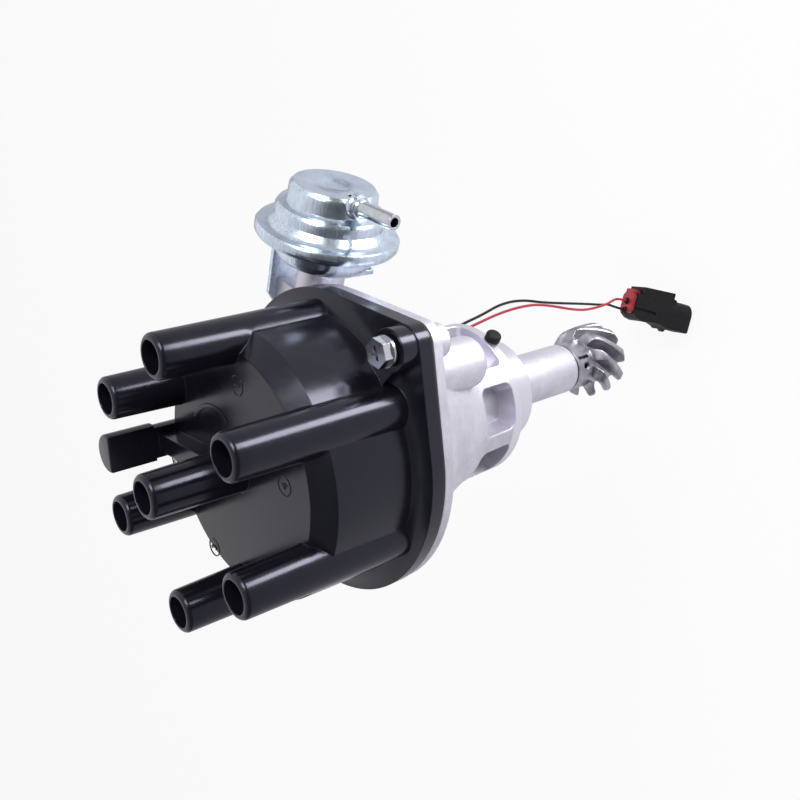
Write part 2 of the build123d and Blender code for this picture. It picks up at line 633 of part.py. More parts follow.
# ---------------------------------------------------------------- vacuum unit
def vacuum_bracket():
    """Folded sheet: one leg between the boss and the dish, the other on the housing's pad."""
    end = BOSS_END + BRACKET_T
    outer = BRACKET_LEG + BRACKET_T
    section = make_face(Polyline((-13, BOSS_END), (BRACKET_LEG, BOSS_END), (BRACKET_LEG, 20), (outer, 20), (outer, end),
                                 (-13, end), close=True))
    inside = section.vertices().sort_by_distance((BRACKET_LEG, BOSS_END, 0))[0]
    section = fillet(inside, BRACKET_BEND)
    outside = section.vertices().sort_by_distance((outer, end, 0))[0]
    section = fillet(outside, BRACKET_BEND + BRACKET_T)
    side = Plane(origin=(0, BRACKET_TOP, 0), x_dir=(1, 0, 0), z_dir=(0, -1, 0))
    body = extrude(side * section, BRACKET_TOP + 12)
    # the leg's upper corner slopes down to the screws
    slope = make_face(Polyline((BRACKET_TOP + 1, 30), (3.0, 22.5), (3.0, 19), (BRACKET_TOP + 1, 19), close=True))
    body -= extrude(Plane(origin=(15, 0, 0), x_dir=(0, 1, 0), z_dir=(1, 0, 0)) * slope, 8)
    body = VAC_FRAME * body - vac_disc(3.4, BOSS_END - 1, end + 1)
    for up, along in BRACKET_SCREWS:
        body -= VAC_FRAME * Pos(17, up, along) * Rot(0, 90, 0) * Cylinder(2.2, 5, align=LOW)
    return body


def bracket_screw(up, along):
    head = Cylinder(3.6, 2.8, align=LOW)
    head -= Pos(0, 0, 2.0) * Box(8, 0.9, 3) + Pos(0, 0, 2.0) * Box(0.9, 8, 3)
    screw = head + Pos(0, 0, -9.5) * Cylinder(1.95, 9.6, align=LOW)
    return VAC_FRAME * Pos(20.0, up, along) * Rot(0, 90, 0) * screw


def vacuum_dish():
    back = BOSS_END + BRACKET_T
    return VAC_FRAME * lathe([
        (3.4, back), (15.4, back), (16.9, back + 1.6), (17.7, 55.6), (22.2, CLAMP_S - 1.2), (23.8, CLAMP_S - 1.0),
        (23.8, CLAMP_S), (22.0, CLAMP_S), (16.8, 56.3), (15.9, back + 2.1), (15.0, back + 1.0), (3.4, back + 1.0),
    ])


def diaphragm():
    return VAC_FRAME * lathe([
        (1.5, 55.6), (9.5, 55.6), (12.0, 56.1), (15.0, 58.0), (18.0, 59.0), (21.6, CLAMP_S), (23.8, CLAMP_S),
        (23.8, CLAMP_S + 0.8), (18.0, 59.9), (15.0, 58.9), (12.0, 57.0), (9.5, 56.4), (1.5, 56.4),
    ])


def diaphragm_plates():
    return [VAC_FRAME * tube(9.0, 1.5, 54.6, 55.6), VAC_FRAME * tube(9.0, 1.5, 56.4, 57.4)]


def vacuum_can():
    """Pressed shell: a stepped can whose rim is rolled over the dish."""
    top = CAN_TOP
    t = SHEET_T
    rim = CLAMP_S + 0.8
    shell = lathe([
        (0, top - DISH[1]), (0, top - t - DISH[1]), (DISH[0] - 1.8, top - t - DISH[1]), (DISH[0] + 0.4, top - t),
        (CAN_R - 2.2, top - t), (CAN_R - t - 0.2, top - 2.4), (CAN_R - t, 69.0),
        (18.5 - t, 67.6), (18.6 - t, 64.0), (21.0, rim + 0.8), (21.4, rim), (23.8, rim), (23.8, CLAMP_S - 1.0),
        (22.9, CLAMP_S - 1.2), (22.6, CLAMP_S - 2.0), (24.0, CLAMP_S - 1.9), (RIM_R, CLAMP_S - 1.0),
        (RIM_R, rim + 0.3), (23.9, rim + 1.2), (21.0, rim + 1.9), (18.8, 64.6), (18.7, 67.3), (17.8, 68.7),
        (16.0, 69.2), (CAN_R, 69.8), (CAN_R - 0.4, top - 1.4), (CAN_R - 1.6, top),
        (DISH[0], top), (DISH[0] - 2.4, top - DISH[1]),
    ])
    return VAC_FRAME * shell - nipple_bar(NIPPLE_R, 8)


def nipple_bar(radius, start):
    frame = VAC_FRAME * Pos(0, 1.5, NIPPLE_S) * Rot(0, 6, 0) * Rot(0, -90, 0)
    return frame * Pos(0, 0, start) * Cylinder(radius, NIPPLE_REACH - start, align=LOW)


def vacuum_nipple():
    tube_ = nipple_bar(NIPPLE_R, CAN_R - 3) - nipple_bar(1.6, CAN_R - 4)
    frame = VAC_FRAME * Pos(0, 1.5, NIPPLE_S) * Rot(0, 6, 0) * Rot(0, -90, 0)
    collar = frame * Pos(0, 0, CAN_R + 0.1) * Cylinder(3.5, 1.1, align=LOW)
    return tube_ + (collar - nipple_bar(2.0, 0))


def vacuum_spring():
    return VAC_FRAME * compression_spring(8.6, 1.1, 57.5, CAN_TOP - SHEET_T - 0.1, 6)


def pull_rod():
    """Flat rod with an eye, turned down to a stem that carries the diaphragm."""
    eye_s = -VAC_OFFSET * math.sin(math.radians(ROD_PIN_ANGLE))
    outline = bar((-2.4, -1, eye_s + 2), (2.4, 1, 50)) + Pos(-0.07, 0, eye_s) * Rot(90, 0, 0) * Cylinder(4.2, 2)
    outline -= Pos(-0.07, 0, eye_s) * Rot(90, 0, 0) * Cylinder(1.5 + ROD_EYE_CLEAR, 4)
    stem = Pos(0, 0, 49) * Cylinder(1.5, 9.6, align=LOW) + Pos(0, 0, 57.4) * Cylinder(3.0, 1.0, align=LOW)
    return VAC_FRAME * (outline + stem)


# ---------------------------------------------------------------- lead
def lead_frame():
    return Plane(origin=ring(0, 0, GROMMET_Z), x_dir=(0, 0, 1), z_dir=ring(1, GROMMET_ANGLE))


def lead_grommet():
    """A moulded bush in the bowl's wall; the wires leave its outer end."""
    return lead_frame() * lathe([
        (0, 41), (3.6, 41), (4.0, 42.0), (4.0, 49.5), (4.9, 49.5), (4.9, 51.0), (4.2, 51.4),
        (3.6, LEAD_START), (0, LEAD_START),
    ])


def leaving_grommet(side):
    """The first points of a wire's route: straight out, then down behind the housing."""
    steps = ((LEAD_START, 0.0, 1.5), (LEAD_START + 6.0, 0.0, 1.5), (65.5, -4.5, 1.6), (66.5, -12.0, 1.7))
    return [lead_frame().from_local_coords(Vector(up, side * across, out)) for out, up, across in steps]


def reaching_connector(across):
    return [CONNECTOR.from_local_coords(Vector(across, 0, along)) for along in (-5.6, -0.6)]


# the free stretch of each wire, from behind the housing down to the connector
BLACK_ROUTE = [
    (-17.5, 63.6, 28.0), (-11.5, 59.6, 10.0), (-2.0, 53.2, -5.5), (7.8, 47.8, -22.5), (14.1, 45.4, -43.6),
    (15.5, 47.2, -58.0), (18.2, 49.6, -74.6), (17.4, 50.4, -90.5), (13.6, 49.8, -106.4), (8.2, 49.5, -138.5),
    (5.3, 49.2, -153.8), (3.9, 52.2, -162.6),
]
RED_ROUTE = [
    (-14.3, 63.4, 28.5), (-8.6, 58.4, 10.5), (0.8, 50.0, -7.0), (9.2, 44.2, -25.5), (13.0, 43.0, -48.5),
    (14.9, 45.2, -66.0), (15.5, 46.7, -83.2), (14.4, 47.4, -100.3), (6.6, 45.9, -128.9), (5.6, 46.3, -143.0),
    (5.9, 47.2, -155.5), (5.6, 51.0, -165.0),
]


def wire(route):
    """A round lead along straight runs joined by the largest arcs that the runs allow."""
    points = [Vector(*p) if isinstance(p, tuple) else p for p in route]
    radii = []
    for before, here, after in zip(points, points[1:], points[2:]):
        first, second = here - before, after - here
        turn_angle = math.radians(first.get_angle(second))
        radii.append(0.45 * min(first.length, second.length) / math.tan(turn_angle / 2))
    path = FilletPolyline(*points, radius=radii)
    section = Plane(origin=path @ 0, z_dir=path % 0) * Circle(WIRE_R)
    body = sweep(section, path)
    print("wire: length %.1f, tightest radii %s, volume over section x length %.4f" % (
        path.length, [round(r, 1) for r in sorted(radii)[:4]], body.volume / (path.length * math.pi * WIRE_R ** 2)))
    return body


# connector: z runs from the wires to the mouth, x towards the latch
CONNECTOR = Plane(origin=CONNECTOR_START, z_dir=Vector(*CONNECTOR_END) - Vector(*CONNECTOR_START),
                  x_dir=(0.93, 0.0, -0.32))


def block(x0, x1, depth, low, high, corner):
    return prism(Pos((x0 + x1) / 2, 0) * RectangleRounded(x1 - x0, depth, corner), low, high)


def connector_body():
    """Two-way housing: an oval mouth in a shroud with one square side, and a latch frame over the wire end."""
    profile = make_face(Polyline(
        (-5.5, 2.5), (-7.6, 5.4), (-8.4, 9.0), (-7.7, 14.0), (-7.4, 20.0), (-8.4, 23.6), (-10.6, 26.6), (-8.9, 27.8),
        (-8.6, CONNECTOR_L), (7.4, CONNECTOR_L), (7.4, 28.4), (8.0, 26.0), (11.0, 25.4), (10.6, 18.0), (9.9, 5.3),
        (5.8, 5.3), (5.8, 2.5), close=True))
    soft = [v for v in profile.vertices() if v.X < -7.0 and 5 < v.Y < 23]
    side = Plane(origin=(0, 0, 0), x_dir=(1, 0, 0), z_dir=(0, -1, 0))
    whole = extrude(side * fillet(soft, 1.2), 7.0, both=True)
    shroud = make_hull((Pos(0.4, 0) * Circle(7.0) + Pos(-4.3, 0) * RectangleRounded(8.6, 14.0, 1.2)).edges())
    body = whole & (block(-14, 12, 14.0, 0, 25.0, 2.2) + prism(shroud, 24.0, CONNECTOR_L))
    body += whole & bar((-12.5, -2.0, 20), (-8, 2.0, 31))
    body += whole & bar((5, -5.4, 5), (12, 5.4, 28))
    # the latch frame is open underneath and at the end
    body -= bar((5.0, -4.0, 3.0), (8.2, 4.0, 22.0))
    body -= bar((7.0, -2.2, 9.0), (12.0, 2.2, 19.0))
    # side grooves beside the lock
    for edge in (-1, 1):
        body -= bar((-3.4, edge * 6.8 - 1.0, 1.0), (-1.8, edge * 6.8 + 1.0, 16.0))
    body -= prism(Pos(MOUTH_MID, 0) * SlotOverall(13.4, 10.6), 23.0, CONNECTOR_L + 1)
    body -= block(-4.9, 4.5, 9.0, 1.0, 5.0, 1.5) + bar((4.0, -3.4, 2.0), (7.8, 3.4, 5.3))
    for x in WIRE_PLACES:
        body += Pos(x, 0, 22.5) * Cylinder(1.9, 4.0, align=LOW)
        body -= Pos(x, 0, 1.0) * Cylinder(1.9, 11.0, align=LOW)
        body -= Pos(x, 0, 11.0) * Cylinder(1.0, 18.0, align=LOW)
    return CONNECTOR * body


def connector_lock():
    """The coloured lock that backs up the terminals; its arms run in the side grooves."""
    body = block(-5.4, 5.4, 10.6, 0.6, 2.5, 2.0) + block(-4.8, 4.4, 8.9, 2.5, 4.9, 1.5)
    body += bar((4.0, -3.4, 0.6), (7.8, 3.4, 5.2))
    for x in WIRE_PLACES:
        body -= Pos(x, 0, 0) * Cylinder(1.9, 6, align=LOW)
    return CONNECTOR * body


def connector_seal(x):
    """Ribbed wire seal behind each terminal."""
    seal = lathe([(0, -0.6), (1.5, -0.6), (1.5, 0.8), (1.9, 1.0), (1.9, 10.8), (0, 10.8)])
    return CONNECTOR * (Pos(x, 0, 0) * seal)


def connector_terminal(x):
    return CONNECTOR * (Pos(x, 0, 10.8) * Cylinder(1.0, 19.6, align=LOW))


# ---------------------------------------------------------------- small fixed pieces
def rim_plug():
    """Rubber plug in a hole in the mounting disc's rim."""
    stub = Pos(SEAT_R - RIM_PLUG_DEPTH, 0, 2.1) * Rot(0, 90, 0) * Cylinder(RIM_PLUG_R, RIM_PLUG_DEPTH + 1, align=LOW)
    head = Pos(SEAT_R + 0.05, 0, 0.6) * Rot(0, 90, 0) * Cylinder(2.9, 3.0, align=LOW)
    head = fillet(head.edges().group_by(Axis.X)[-1], 1.2)
    return turn(stub + head, RIM_PLUG_ANGLE)


def shaft_seal():
    return lathe([(SHAFT_R + 0.06, 17.0), (SEAL_R, 15.0), (SEAL_R, 21.0), (7.6, 21.0), (7.0, 17.8), (SHAFT_R + 0.06, 17.8)])


def main():
    save("housing", housing())
    save("lower_bush", tube(BUSH_R, SHAFT_R + RUN_CLEAR, *LOWER_BUSH))
    save("upper_bush", tube(BUSH_R, SHAFT_R + RUN_CLEAR, *UPPER_BUSH))
    save("shaft_seal", shaft_seal())
    save("cap_gasket", cap_gasket())
    save("distributor_cap", distributor_cap())
    save("cap_terminals", *cap_terminals())
    save("centre_terminal", centre_terminal())
    save("carbon_brush", carbon_brush())
    save("brush_spring", brush_spring())
    save("cap_screws", *[cap_screw(angle) for angle in EAR_ANGLES])
    save("cap_screw_washers", *[tube(5.6, 2.7, CAP_EAR_TOP, CAP_EAR_TOP + 1.0, ring(EAR_RING, angle))
                                for angle in EAR_ANGLES])
    save("main_shaft", main_shaft())
    save("drive_gear", drive_gear())
    save("gear_roll_pin", roll_pin())
    save("lower_thrust_washer", tube(9.6, SHAFT_R, GEAR_TOP, GEAR_TOP + 0.8))
    save("upper_thrust_washer", tube(10.5, SHAFT_R, 24.2, 25.0))
    save("weight_base", weight_base())
    save("weight_clips", weight_clip(0), weight_clip(180))
    save("flyweight_a", flyweight(0))
    save("flyweight_b", flyweight(180))
    save("advance_spring_a", advance_spring(0))
    save("advance_spring_b", advance_spring(180))
    save("sleeve_clip", tube(6.5, SHAFT_R - 0.68, CLIP_Z + 0.05, CLIP_Z + 0.95))
    save("advance_sleeve", advance_sleeve())
    save("reluctor", reluctor())
    save("oil_felt", disc(5.9, 71.2, 73.8))
    save("rotor_arm", rotor_arm())
    save("rotor_electrode", rotor_electrode())
    save("rotor_contact_spring", contact_spring())
    save("fixed_plate", fixed_plate())
    save("fixed_plate_screws", *[plate_screw(angle) for angle in PLATE_SCREW_ANGLES])
    save("glide_buttons", *[glide_button(angle + 30) for angle in PLATE_SCREW_ANGLES])
    save("plate_retainer", plate_retainer())
    save("swing_plate", swing_plate())
    save("pickup_bracket", pickup_bracket())
    save("pickup_magnet", pickup_magnet())
    save("pole_piece", pole_piece())
    save("pickup_bobbin", pickup_bobbin())
    save("pickup_coil", pickup_coil())
    save("pickup_screws", *[pickup_screw(centre) for centre in pickup_holes()])
    save("vacuum_can", vacuum_can())
    save("vacuum_dish", vacuum_dish())
    save("vacuum_nipple", vacuum_nipple())
    save("vacuum_bracket", vacuum_bracket())
    save("vacuum_bracket_screws", *[bracket_screw(*place) for place in BRACKET_SCREWS])
    save("diaphragm", diaphragm())
    save("diaphragm_plates", *diaphragm_plates())
    save("vacuum_spring", vacuum_spring())
    save("pull_rod", pull_rod())
    save("rim_plug", rim_plug())
    save("lead_grommet", lead_grommet())
    save("lead_wire_black", wire(leaving_grommet(-1) + BLACK_ROUTE + reaching_connector(WIRE_PLACES[0])))
    save("lead_wire_red", wire(leaving_grommet(1) + RED_ROUTE + reaching_connector(WIRE_PLACES[1])))
    save("connector_body", connector_body())
    save("connector_lock", connector_lock())
    save("connector_seals", *[connector_seal(x) for x in WIRE_PLACES])
    save("connector_terminals", *[connector_terminal(x) for x in WIRE_PLACES])


main()
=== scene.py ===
import bpy
import bmesh
import json
import math

from mathutils import Matrix, Vector

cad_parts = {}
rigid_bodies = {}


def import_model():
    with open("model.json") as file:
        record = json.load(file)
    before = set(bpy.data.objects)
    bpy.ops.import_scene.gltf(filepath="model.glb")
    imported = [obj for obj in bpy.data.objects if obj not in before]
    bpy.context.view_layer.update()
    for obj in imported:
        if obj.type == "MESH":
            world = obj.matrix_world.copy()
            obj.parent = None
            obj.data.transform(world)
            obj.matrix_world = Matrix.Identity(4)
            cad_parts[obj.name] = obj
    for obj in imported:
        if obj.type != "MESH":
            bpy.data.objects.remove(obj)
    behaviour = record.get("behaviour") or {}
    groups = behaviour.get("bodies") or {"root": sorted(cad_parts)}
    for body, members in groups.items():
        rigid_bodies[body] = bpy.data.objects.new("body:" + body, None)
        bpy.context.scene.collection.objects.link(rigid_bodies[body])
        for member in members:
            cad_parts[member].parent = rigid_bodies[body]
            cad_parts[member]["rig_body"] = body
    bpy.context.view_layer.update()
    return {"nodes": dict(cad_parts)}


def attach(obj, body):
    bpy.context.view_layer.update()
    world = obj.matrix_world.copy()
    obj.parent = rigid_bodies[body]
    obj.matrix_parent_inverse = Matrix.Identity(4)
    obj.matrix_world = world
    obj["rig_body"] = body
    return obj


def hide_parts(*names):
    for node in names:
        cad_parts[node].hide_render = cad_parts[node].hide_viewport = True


bl_info = {
    "name": "Ignition Distributor",
    "version": (1, 1, 0),
    "blender": (4, 5, 0),
    "location": "3D View > Sidebar > Distributor",
    "description": "Builds and finishes an ignition distributor with its cap, vacuum unit, drive gear and lead",
    "category": "Add Mesh",
}

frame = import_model()
NODES = frame["nodes"]
MM = 0.001

# The driving sizes of the object, in millimetres, as the solids have them
CAP_FACE_Z = 102.8
# The lock washers' foot. Known fault: this is the housing's joint face. The cap's ears, where the washers belong,
# end at 73.3, so the washers lie hidden inside them.
WASHER_FOOT = 62.0
EAR_RING = 57.0
EAR_ANGLES = (-45, 135)
VAC_ANGLE = -18.0
VAC_OFFSET = 35.1
VAC_Z = 51.8
PICKUP_ANGLE = -150.0
POLE_Z = 57.0
SPRING_Z = 38.8
SPRING_POST = (22.5, 118.0)
SPRING_STUD = (13.0, 172.0)
PIPE_ROOT = Vector((0.0, 1.5, 72.7))          # where the vacuum pipe's line starts, in the unit's frame
PIPE_ALONG = Vector((-0.9945, 0.0, 0.1045))
PIPE_FILLET = (14.2, 18.0)                    # distances along the pipe's line
SEAT_TOP = 4.6                                # the turned pilot and disc lie below this
SHANK_SIDE = 11.0                             # and outside this radius
VACUUM_SPRING = (8.6, 57.5, 17.6)             # outer radius, start along the unit and length
BRUSH_SPRING = (1.775, 92.225, 10.15, 0.45)   # middle radius, foot, length between wire centres, and wire
BRUSH_TURNS = 6.0
ADVANCE_SPRING_R = 1.7
ADVANCE_EYE_R = 1.65
WINDING = (5.1, 7.2, 19.4)                    # radius, length and distance from the shaft
ARC_CENTRE = Vector((5.0, 12.0, CAP_FACE_Z))
FLOOR_HALF = 4.0                              # metres


# ---------------------------------------------------------------- small tools
def linear(hex_colour):
    """The scene-linear colour of an sRGB hex value such as #808080."""
    values = [int(hex_colour[i:i + 2], 16) / 255 for i in (1, 3, 5)]
    return [v / 12.92 if v <= 0.04045 else ((v + 0.055) / 1.055) ** 2.4 for v in values] + [1.0]


def shade(colour, amount):
    """A lighter or darker version of a scene-linear colour."""
    return [min(1.0, channel * amount) for channel in colour[:3]] + [1.0]


def grey(value):
    return (value, value, value, 1.0)


def add(tree, kind, inputs=None, **settings):
    """Add a node with its settings; an input is given a value or another node's socket."""
    node = tree.nodes.new(kind)
    for key, value in settings.items():
        setattr(node, key, value)
    for key, value in (inputs or {}).items():
        if isinstance(value, bpy.types.NodeSocket):
            tree.links.new(value, node.inputs[key])
        else:
            node.inputs[key].default_value = value
    return node


def polar(radius, angle, z=0.0):
    """A point in metres from a radius in mm, an angle in degrees and a height in mm."""
    a = math.radians(angle)
    return Vector((radius * math.cos(a), radius * math.sin(a), z)) * MM


def placed(across, along, at):
    """A frame with x across and z along, at a point in metres."""
    along = Vector(along).normalized()
    across = Vector(across)
    across = (across - along * across.dot(along)).normalized()
    place = Matrix((across, along.cross(across), along)).transposed().to_4x4()
    place.translation = at
    return place


def unit_frame():
    """The vacuum unit's frame: x away from the shaft, y up, z out along the rod."""
    return placed(polar(1000, VAC_ANGLE + 90), polar(1000, VAC_ANGLE), polar(VAC_OFFSET, VAC_ANGLE + 90, VAC_Z))


def new_object(name, data):
    piece = bpy.data.objects.new(name, data)
    bpy.context.scene.collection.objects.link(piece)
    return piece


def apply_modifiers(piece):
    """Turn a piece with live modifiers into a plain mesh."""
    bpy.context.view_layer.update()
    graph = bpy.context.evaluated_depsgraph_get()
    mesh = bpy.data.meshes.new_from_object(piece.evaluated_get(graph), preserve_all_data_layers=True, depsgraph=graph)
    piece.modifiers.clear()
    piece.data = mesh
    mesh.name = piece.name
    return piece


def smoothed(bm, angle):
    """Smooth faces, with the edges over the angle kept crisp."""
    limit = math.radians(angle)
    for face in bm.faces:
        face.smooth = True
    for edge in bm.edges:
        edge.smooth = len(edge.link_faces) == 2 and edge.calc_face_angle(0.0) < limit


def dressed(node, name, material, angle=32.0):
    """A merged and smoothly shaded copy of a solid, in its own finish."""
    source = NODES[node]
    bm = bmesh.new()
    bm.from_mesh(source.data)
    bmesh.ops.remove_doubles(bm, verts=bm.verts, dist=0.000002)
    smoothed(bm, angle)
    mesh = bpy.data.meshes.new(name)
    bm.to_mesh(mesh)
    bm.free()
    piece = new_object(name, mesh)
    mesh.materials.append(material)
    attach(piece, source["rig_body"])
    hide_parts(node)
    return piece


def turned_piece(name, profile, place, steps=48):
    """A smooth turned ring about z from (radius, height) points in mm, put in a frame."""
    bm = bmesh.new()
    rings = [[bm.verts.new(polar(radius, 360 * i / steps, height)) for i in range(steps)] for radius, height in profile]
    for low, high in zip(rings, rings[1:] + rings[:1]):
        for i in range(steps):
            j = (i + 1) % steps
            bm.faces.new((low[i], low[j], high[j], high[i]))
    bm.transform(place)
    bmesh.ops.recalc_face_normals(bm, faces=bm.faces)
    smoothed(bm, 50.0)
    mesh = bpy.data.meshes.new(name)
    bm.to_mesh(mesh)
    bm.free()
    return new_object(name, mesh)


# ---------------------------------------------------------------- geometry nodes
def geometry_tree(name, sockets):
    """An empty tree with named inputs, from (label, kind, default); returns it with its inputs' sockets."""
    tree = bpy.data.node_groups.new(name, "GeometryNodeTree")
    tree.interface.new_socket("Geometry", in_out="OUTPUT", socket_type="NodeSocketGeometry")
    tree.interface.new_socket("Geometry", in_out="INPUT", socket_type="NodeSocketGeometry")
    for label, kind, default in sockets + [("Material", "Material", None)]:
        socket = tree.interface.new_socket(label, in_out="INPUT", socket_type="NodeSocket" + kind)
        if default is not None:
            socket.default_value = default
    return tree, add(tree, "NodeGroupInput").outputs


def end_tree(tree, shapes, material):
    """Join the shapes, make their instances real, give them the material and end the tree."""
    join = tree.nodes.new("GeometryNodeJoinGeometry")
    for shape in shapes:
        tree.links.new(shape, join.inputs[0])
    real = add(tree, "GeometryNodeRealizeInstances", {0: join.outputs[0]})
    soft = add(tree, "GeometryNodeSetShadeSmooth", {0: real.outputs[0]})
    painted = add(tree, "GeometryNodeSetMaterial", {"Geometry": soft.outputs[0], "Material": material})
    add(tree, "NodeGroupOutput", {0: painted.outputs[0]})
    return tree


def on_points(tree, given, shape, **more):
    """A shape at each point that the tree is given."""
    inputs = {"Points": given["Geometry"], "Instance": shape, **more}
    return add(tree, "GeometryNodeInstanceOnPoints", inputs).outputs[0]


def calculate(tree, operation, *values):
    """A Math node's result."""
    return add(tree, "ShaderNodeMath", dict(enumerate(values)), operation=operation).outputs[0]


def grown(name, points, tree, values, place=None, angle=40.0):
    """The plain mesh that a tree makes from some points, its inputs set by their identifiers."""
    mesh = bpy.data.meshes.new(name)
    mesh.from_pydata([tuple(point) for point in points], [], [])
    piece = new_object(name, mesh)
    modifier = piece.modifiers.new(name, "NODES")
    modifier.node_group = tree
    for item in tree.interface.items_tree:
        if item.item_type == "SOCKET" and item.in_out == "INPUT" and item.name in values:
            modifier[item.identifier] = values[item.name]
    apply_modifiers(piece)
    bm = bmesh.new()
    bm.from_mesh(piece.data)
    if place:
        bm.transform(place)
    bmesh.ops.recalc_face_normals(bm, faces=bm.faces)
    smoothed(bm, angle)
    bm.to_mesh(piece.data)
    bm.free()
    return piece


def round_wire(tree, curve, thickness, sides=10):
    """Wire of a round section along a curve."""
    radius = calculate(tree, "MULTIPLY", thickness, 0.5)
    section = add(tree, "GeometryNodeCurvePrimitiveCircle", {"Resolution": sides, "Radius": radius})
    solid = {"Curve": curve, "Profile Curve": section.outputs[0], "Fill Caps": True}
    return add(tree, "GeometryNodeCurveToMesh", solid).outputs[0]


def figures_tree():
    """A raised ring round each point, and the number of the point in it."""
    tree, given = geometry_tree("Ringed figures", [
        ("Ring Radius", "Float", 3.1 * MM), ("Line Width", "Float", 0.5 * MM), ("Figure Size", "Float", 4.2 * MM),
        ("Height", "Float", 0.3 * MM)])
    circle = add(tree, "GeometryNodeCurvePrimitiveCircle", {"Resolution": 40, "Radius": given["Ring Radius"]})
    ring = round_wire(tree, circle.outputs[0], given["Line Width"], 8)
    shapes = [on_points(tree, given, ring)]
    index = add(tree, "GeometryNodeInputIndex").outputs[0]
    for number in range(4):
        figure = add(tree, "GeometryNodeStringToCurves", {"String": str(number + 1), "Size": given["Figure Size"]},
                     align_x="CENTER", align_y="MIDDLE")
        flat = add(tree, "GeometryNodeFillCurve", {0: figure.outputs[0]})
        solid = add(tree, "GeometryNodeExtrudeMesh", {"Mesh": flat.outputs[0], "Offset Scale": given["Height"]})
        chosen = add(tree, "FunctionNodeCompare", {2: index, 3: number}, data_type="INT", operation="EQUAL")
        shapes.append(on_points(tree, given, solid.outputs[0], Selection=chosen.outputs[0]))
    return end_tree(tree, shapes, given["Material"])


def arc_tree():
    """A raised band along an arc about each point."""
    tree, given = geometry_tree("Raised arc", [
        ("Radius", "Float", 12.8 * MM), ("Start", "Float", -0.75), ("Sweep", "Float", 1.8),
        ("Width", "Float", 1.6 * MM), ("Height", "Float", 0.3 * MM)])
    arc = add(tree, "GeometryNodeCurveArc", {
        "Resolution": 24, "Radius": given["Radius"], "Start Angle": given["Start"], "Sweep Angle": given["Sweep"]})
    section = add(tree, "GeometryNodeCurvePrimitiveQuadrilateral", {"Width": given["Width"], "Height": given["Height"]})
    band = add(tree, "GeometryNodeCurveToMesh", {
        "Curve": arc.outputs[0], "Profile Curve": section.outputs[0], "Fill Caps": True})
    return end_tree(tree, [on_points(tree, given, band.outputs[0])], given["Material"])


def lock_washer_tree():
    """A flat ring with twisted teeth round its edge, at each point."""
    tree, given = geometry_tree("Toothed lock washer", [
        ("Teeth", "Int", 14), ("Bore", "Float", 2.7 * MM), ("Rim", "Float", 4.3 * MM), ("Reach", "Float", 5.5 * MM),
        ("Thickness", "Float", 0.7 * MM), ("Twist", "Float", 0.35)])
    middle = calculate(tree, "MULTIPLY", calculate(tree, "ADD", given["Bore"], given["Rim"]), 0.5)
    breadth = calculate(tree, "SUBTRACT", given["Rim"], given["Bore"])
    circle = add(tree, "GeometryNodeCurvePrimitiveCircle", {"Resolution": 48, "Radius": middle})
    section = add(tree, "GeometryNodeCurvePrimitiveQuadrilateral", {"Width": breadth, "Height": given["Thickness"]})
    ring = add(tree, "GeometryNodeCurveToMesh", {"Curve": circle.outputs[0], "Profile Curve": section.outputs[0]})
    # the teeth: a small block turned about its own spoke, carried round the rim
    length = calculate(tree, "SUBTRACT", given["Reach"], calculate(tree, "MULTIPLY", given["Rim"], 0.95))
    gap = calculate(tree, "DIVIDE", calculate(tree, "MULTIPLY", given["Rim"], 2 * math.pi), given["Teeth"])
    size = add(tree, "ShaderNodeCombineXYZ", {"X": length, "Y": calculate(tree, "MULTIPLY", gap, 0.72),
                                              "Z": calculate(tree, "MULTIPLY", given["Thickness"], 0.6)})
    block = add(tree, "GeometryNodeMeshCube", {"Size": size.outputs[0]})
    spoke = calculate(tree, "MULTIPLY", calculate(tree, "ADD", given["Rim"], given["Reach"]), 0.49)
    hub = add(tree, "GeometryNodeMeshCircle", {"Vertices": given["Teeth"], "Radius": spoke})
    place = add(tree, "GeometryNodeInputPosition").outputs[0]
    split = add(tree, "ShaderNodeSeparateXYZ", {0: place})
    bearing = calculate(tree, "ARCTAN2", split.outputs["Y"], split.outputs["X"])
    turn = add(tree, "ShaderNodeCombineXYZ", {"X": given["Twist"], "Z": bearing})
    teeth = add(tree, "GeometryNodeInstanceOnPoints", {
        "Points": hub.outputs[0], "Instance": block.outputs[0], "Rotation": turn.outputs[0]})
    both = tree.nodes.new("GeometryNodeJoinGeometry")
    for shape in (ring.outputs[0], teeth.outputs[0]):
        tree.links.new(shape, both.inputs[0])
    return end_tree(tree, [on_points(tree, given, both.outputs[0])], given["Material"])


def compression_spring_tree():
    """An open coil up from each point, its end turns closed up."""
    tree, given = geometry_tree("Compression spring", [
        ("Turns", "Float", 6.0), ("Radius", "Float", 8.0 * MM), ("Height", "Float", 16.0 * MM),
        ("Wire", "Float", 1.1 * MM)])
    coil = add(tree, "GeometryNodeCurveSpiral", {
        "Resolution": 28, "Rotations": given["Turns"], "Start Radius": given["Radius"], "End Radius": given["Radius"],
        "Height": 0.0})
    along = add(tree, "GeometryNodeSplineParameter").outputs["Factor"]
    eased = add(tree, "ShaderNodeMapRange", {"Value": along}, interpolation_type="SMOOTHSTEP").outputs[0]
    share = calculate(tree, "ADD", calculate(tree, "MULTIPLY", along, 0.45), calculate(tree, "MULTIPLY", eased, 0.55))
    rise = add(tree, "ShaderNodeCombineXYZ", {"Z": calculate(tree, "MULTIPLY", share, given["Height"])})
    lifted = add(tree, "GeometryNodeSetPosition", {"Geometry": coil.outputs[0], "Offset": rise.outputs[0]})
    wire = round_wire(tree, lifted.outputs[0], given["Wire"])
    return end_tree(tree, [on_points(tree, given, wire)], given["Material"])


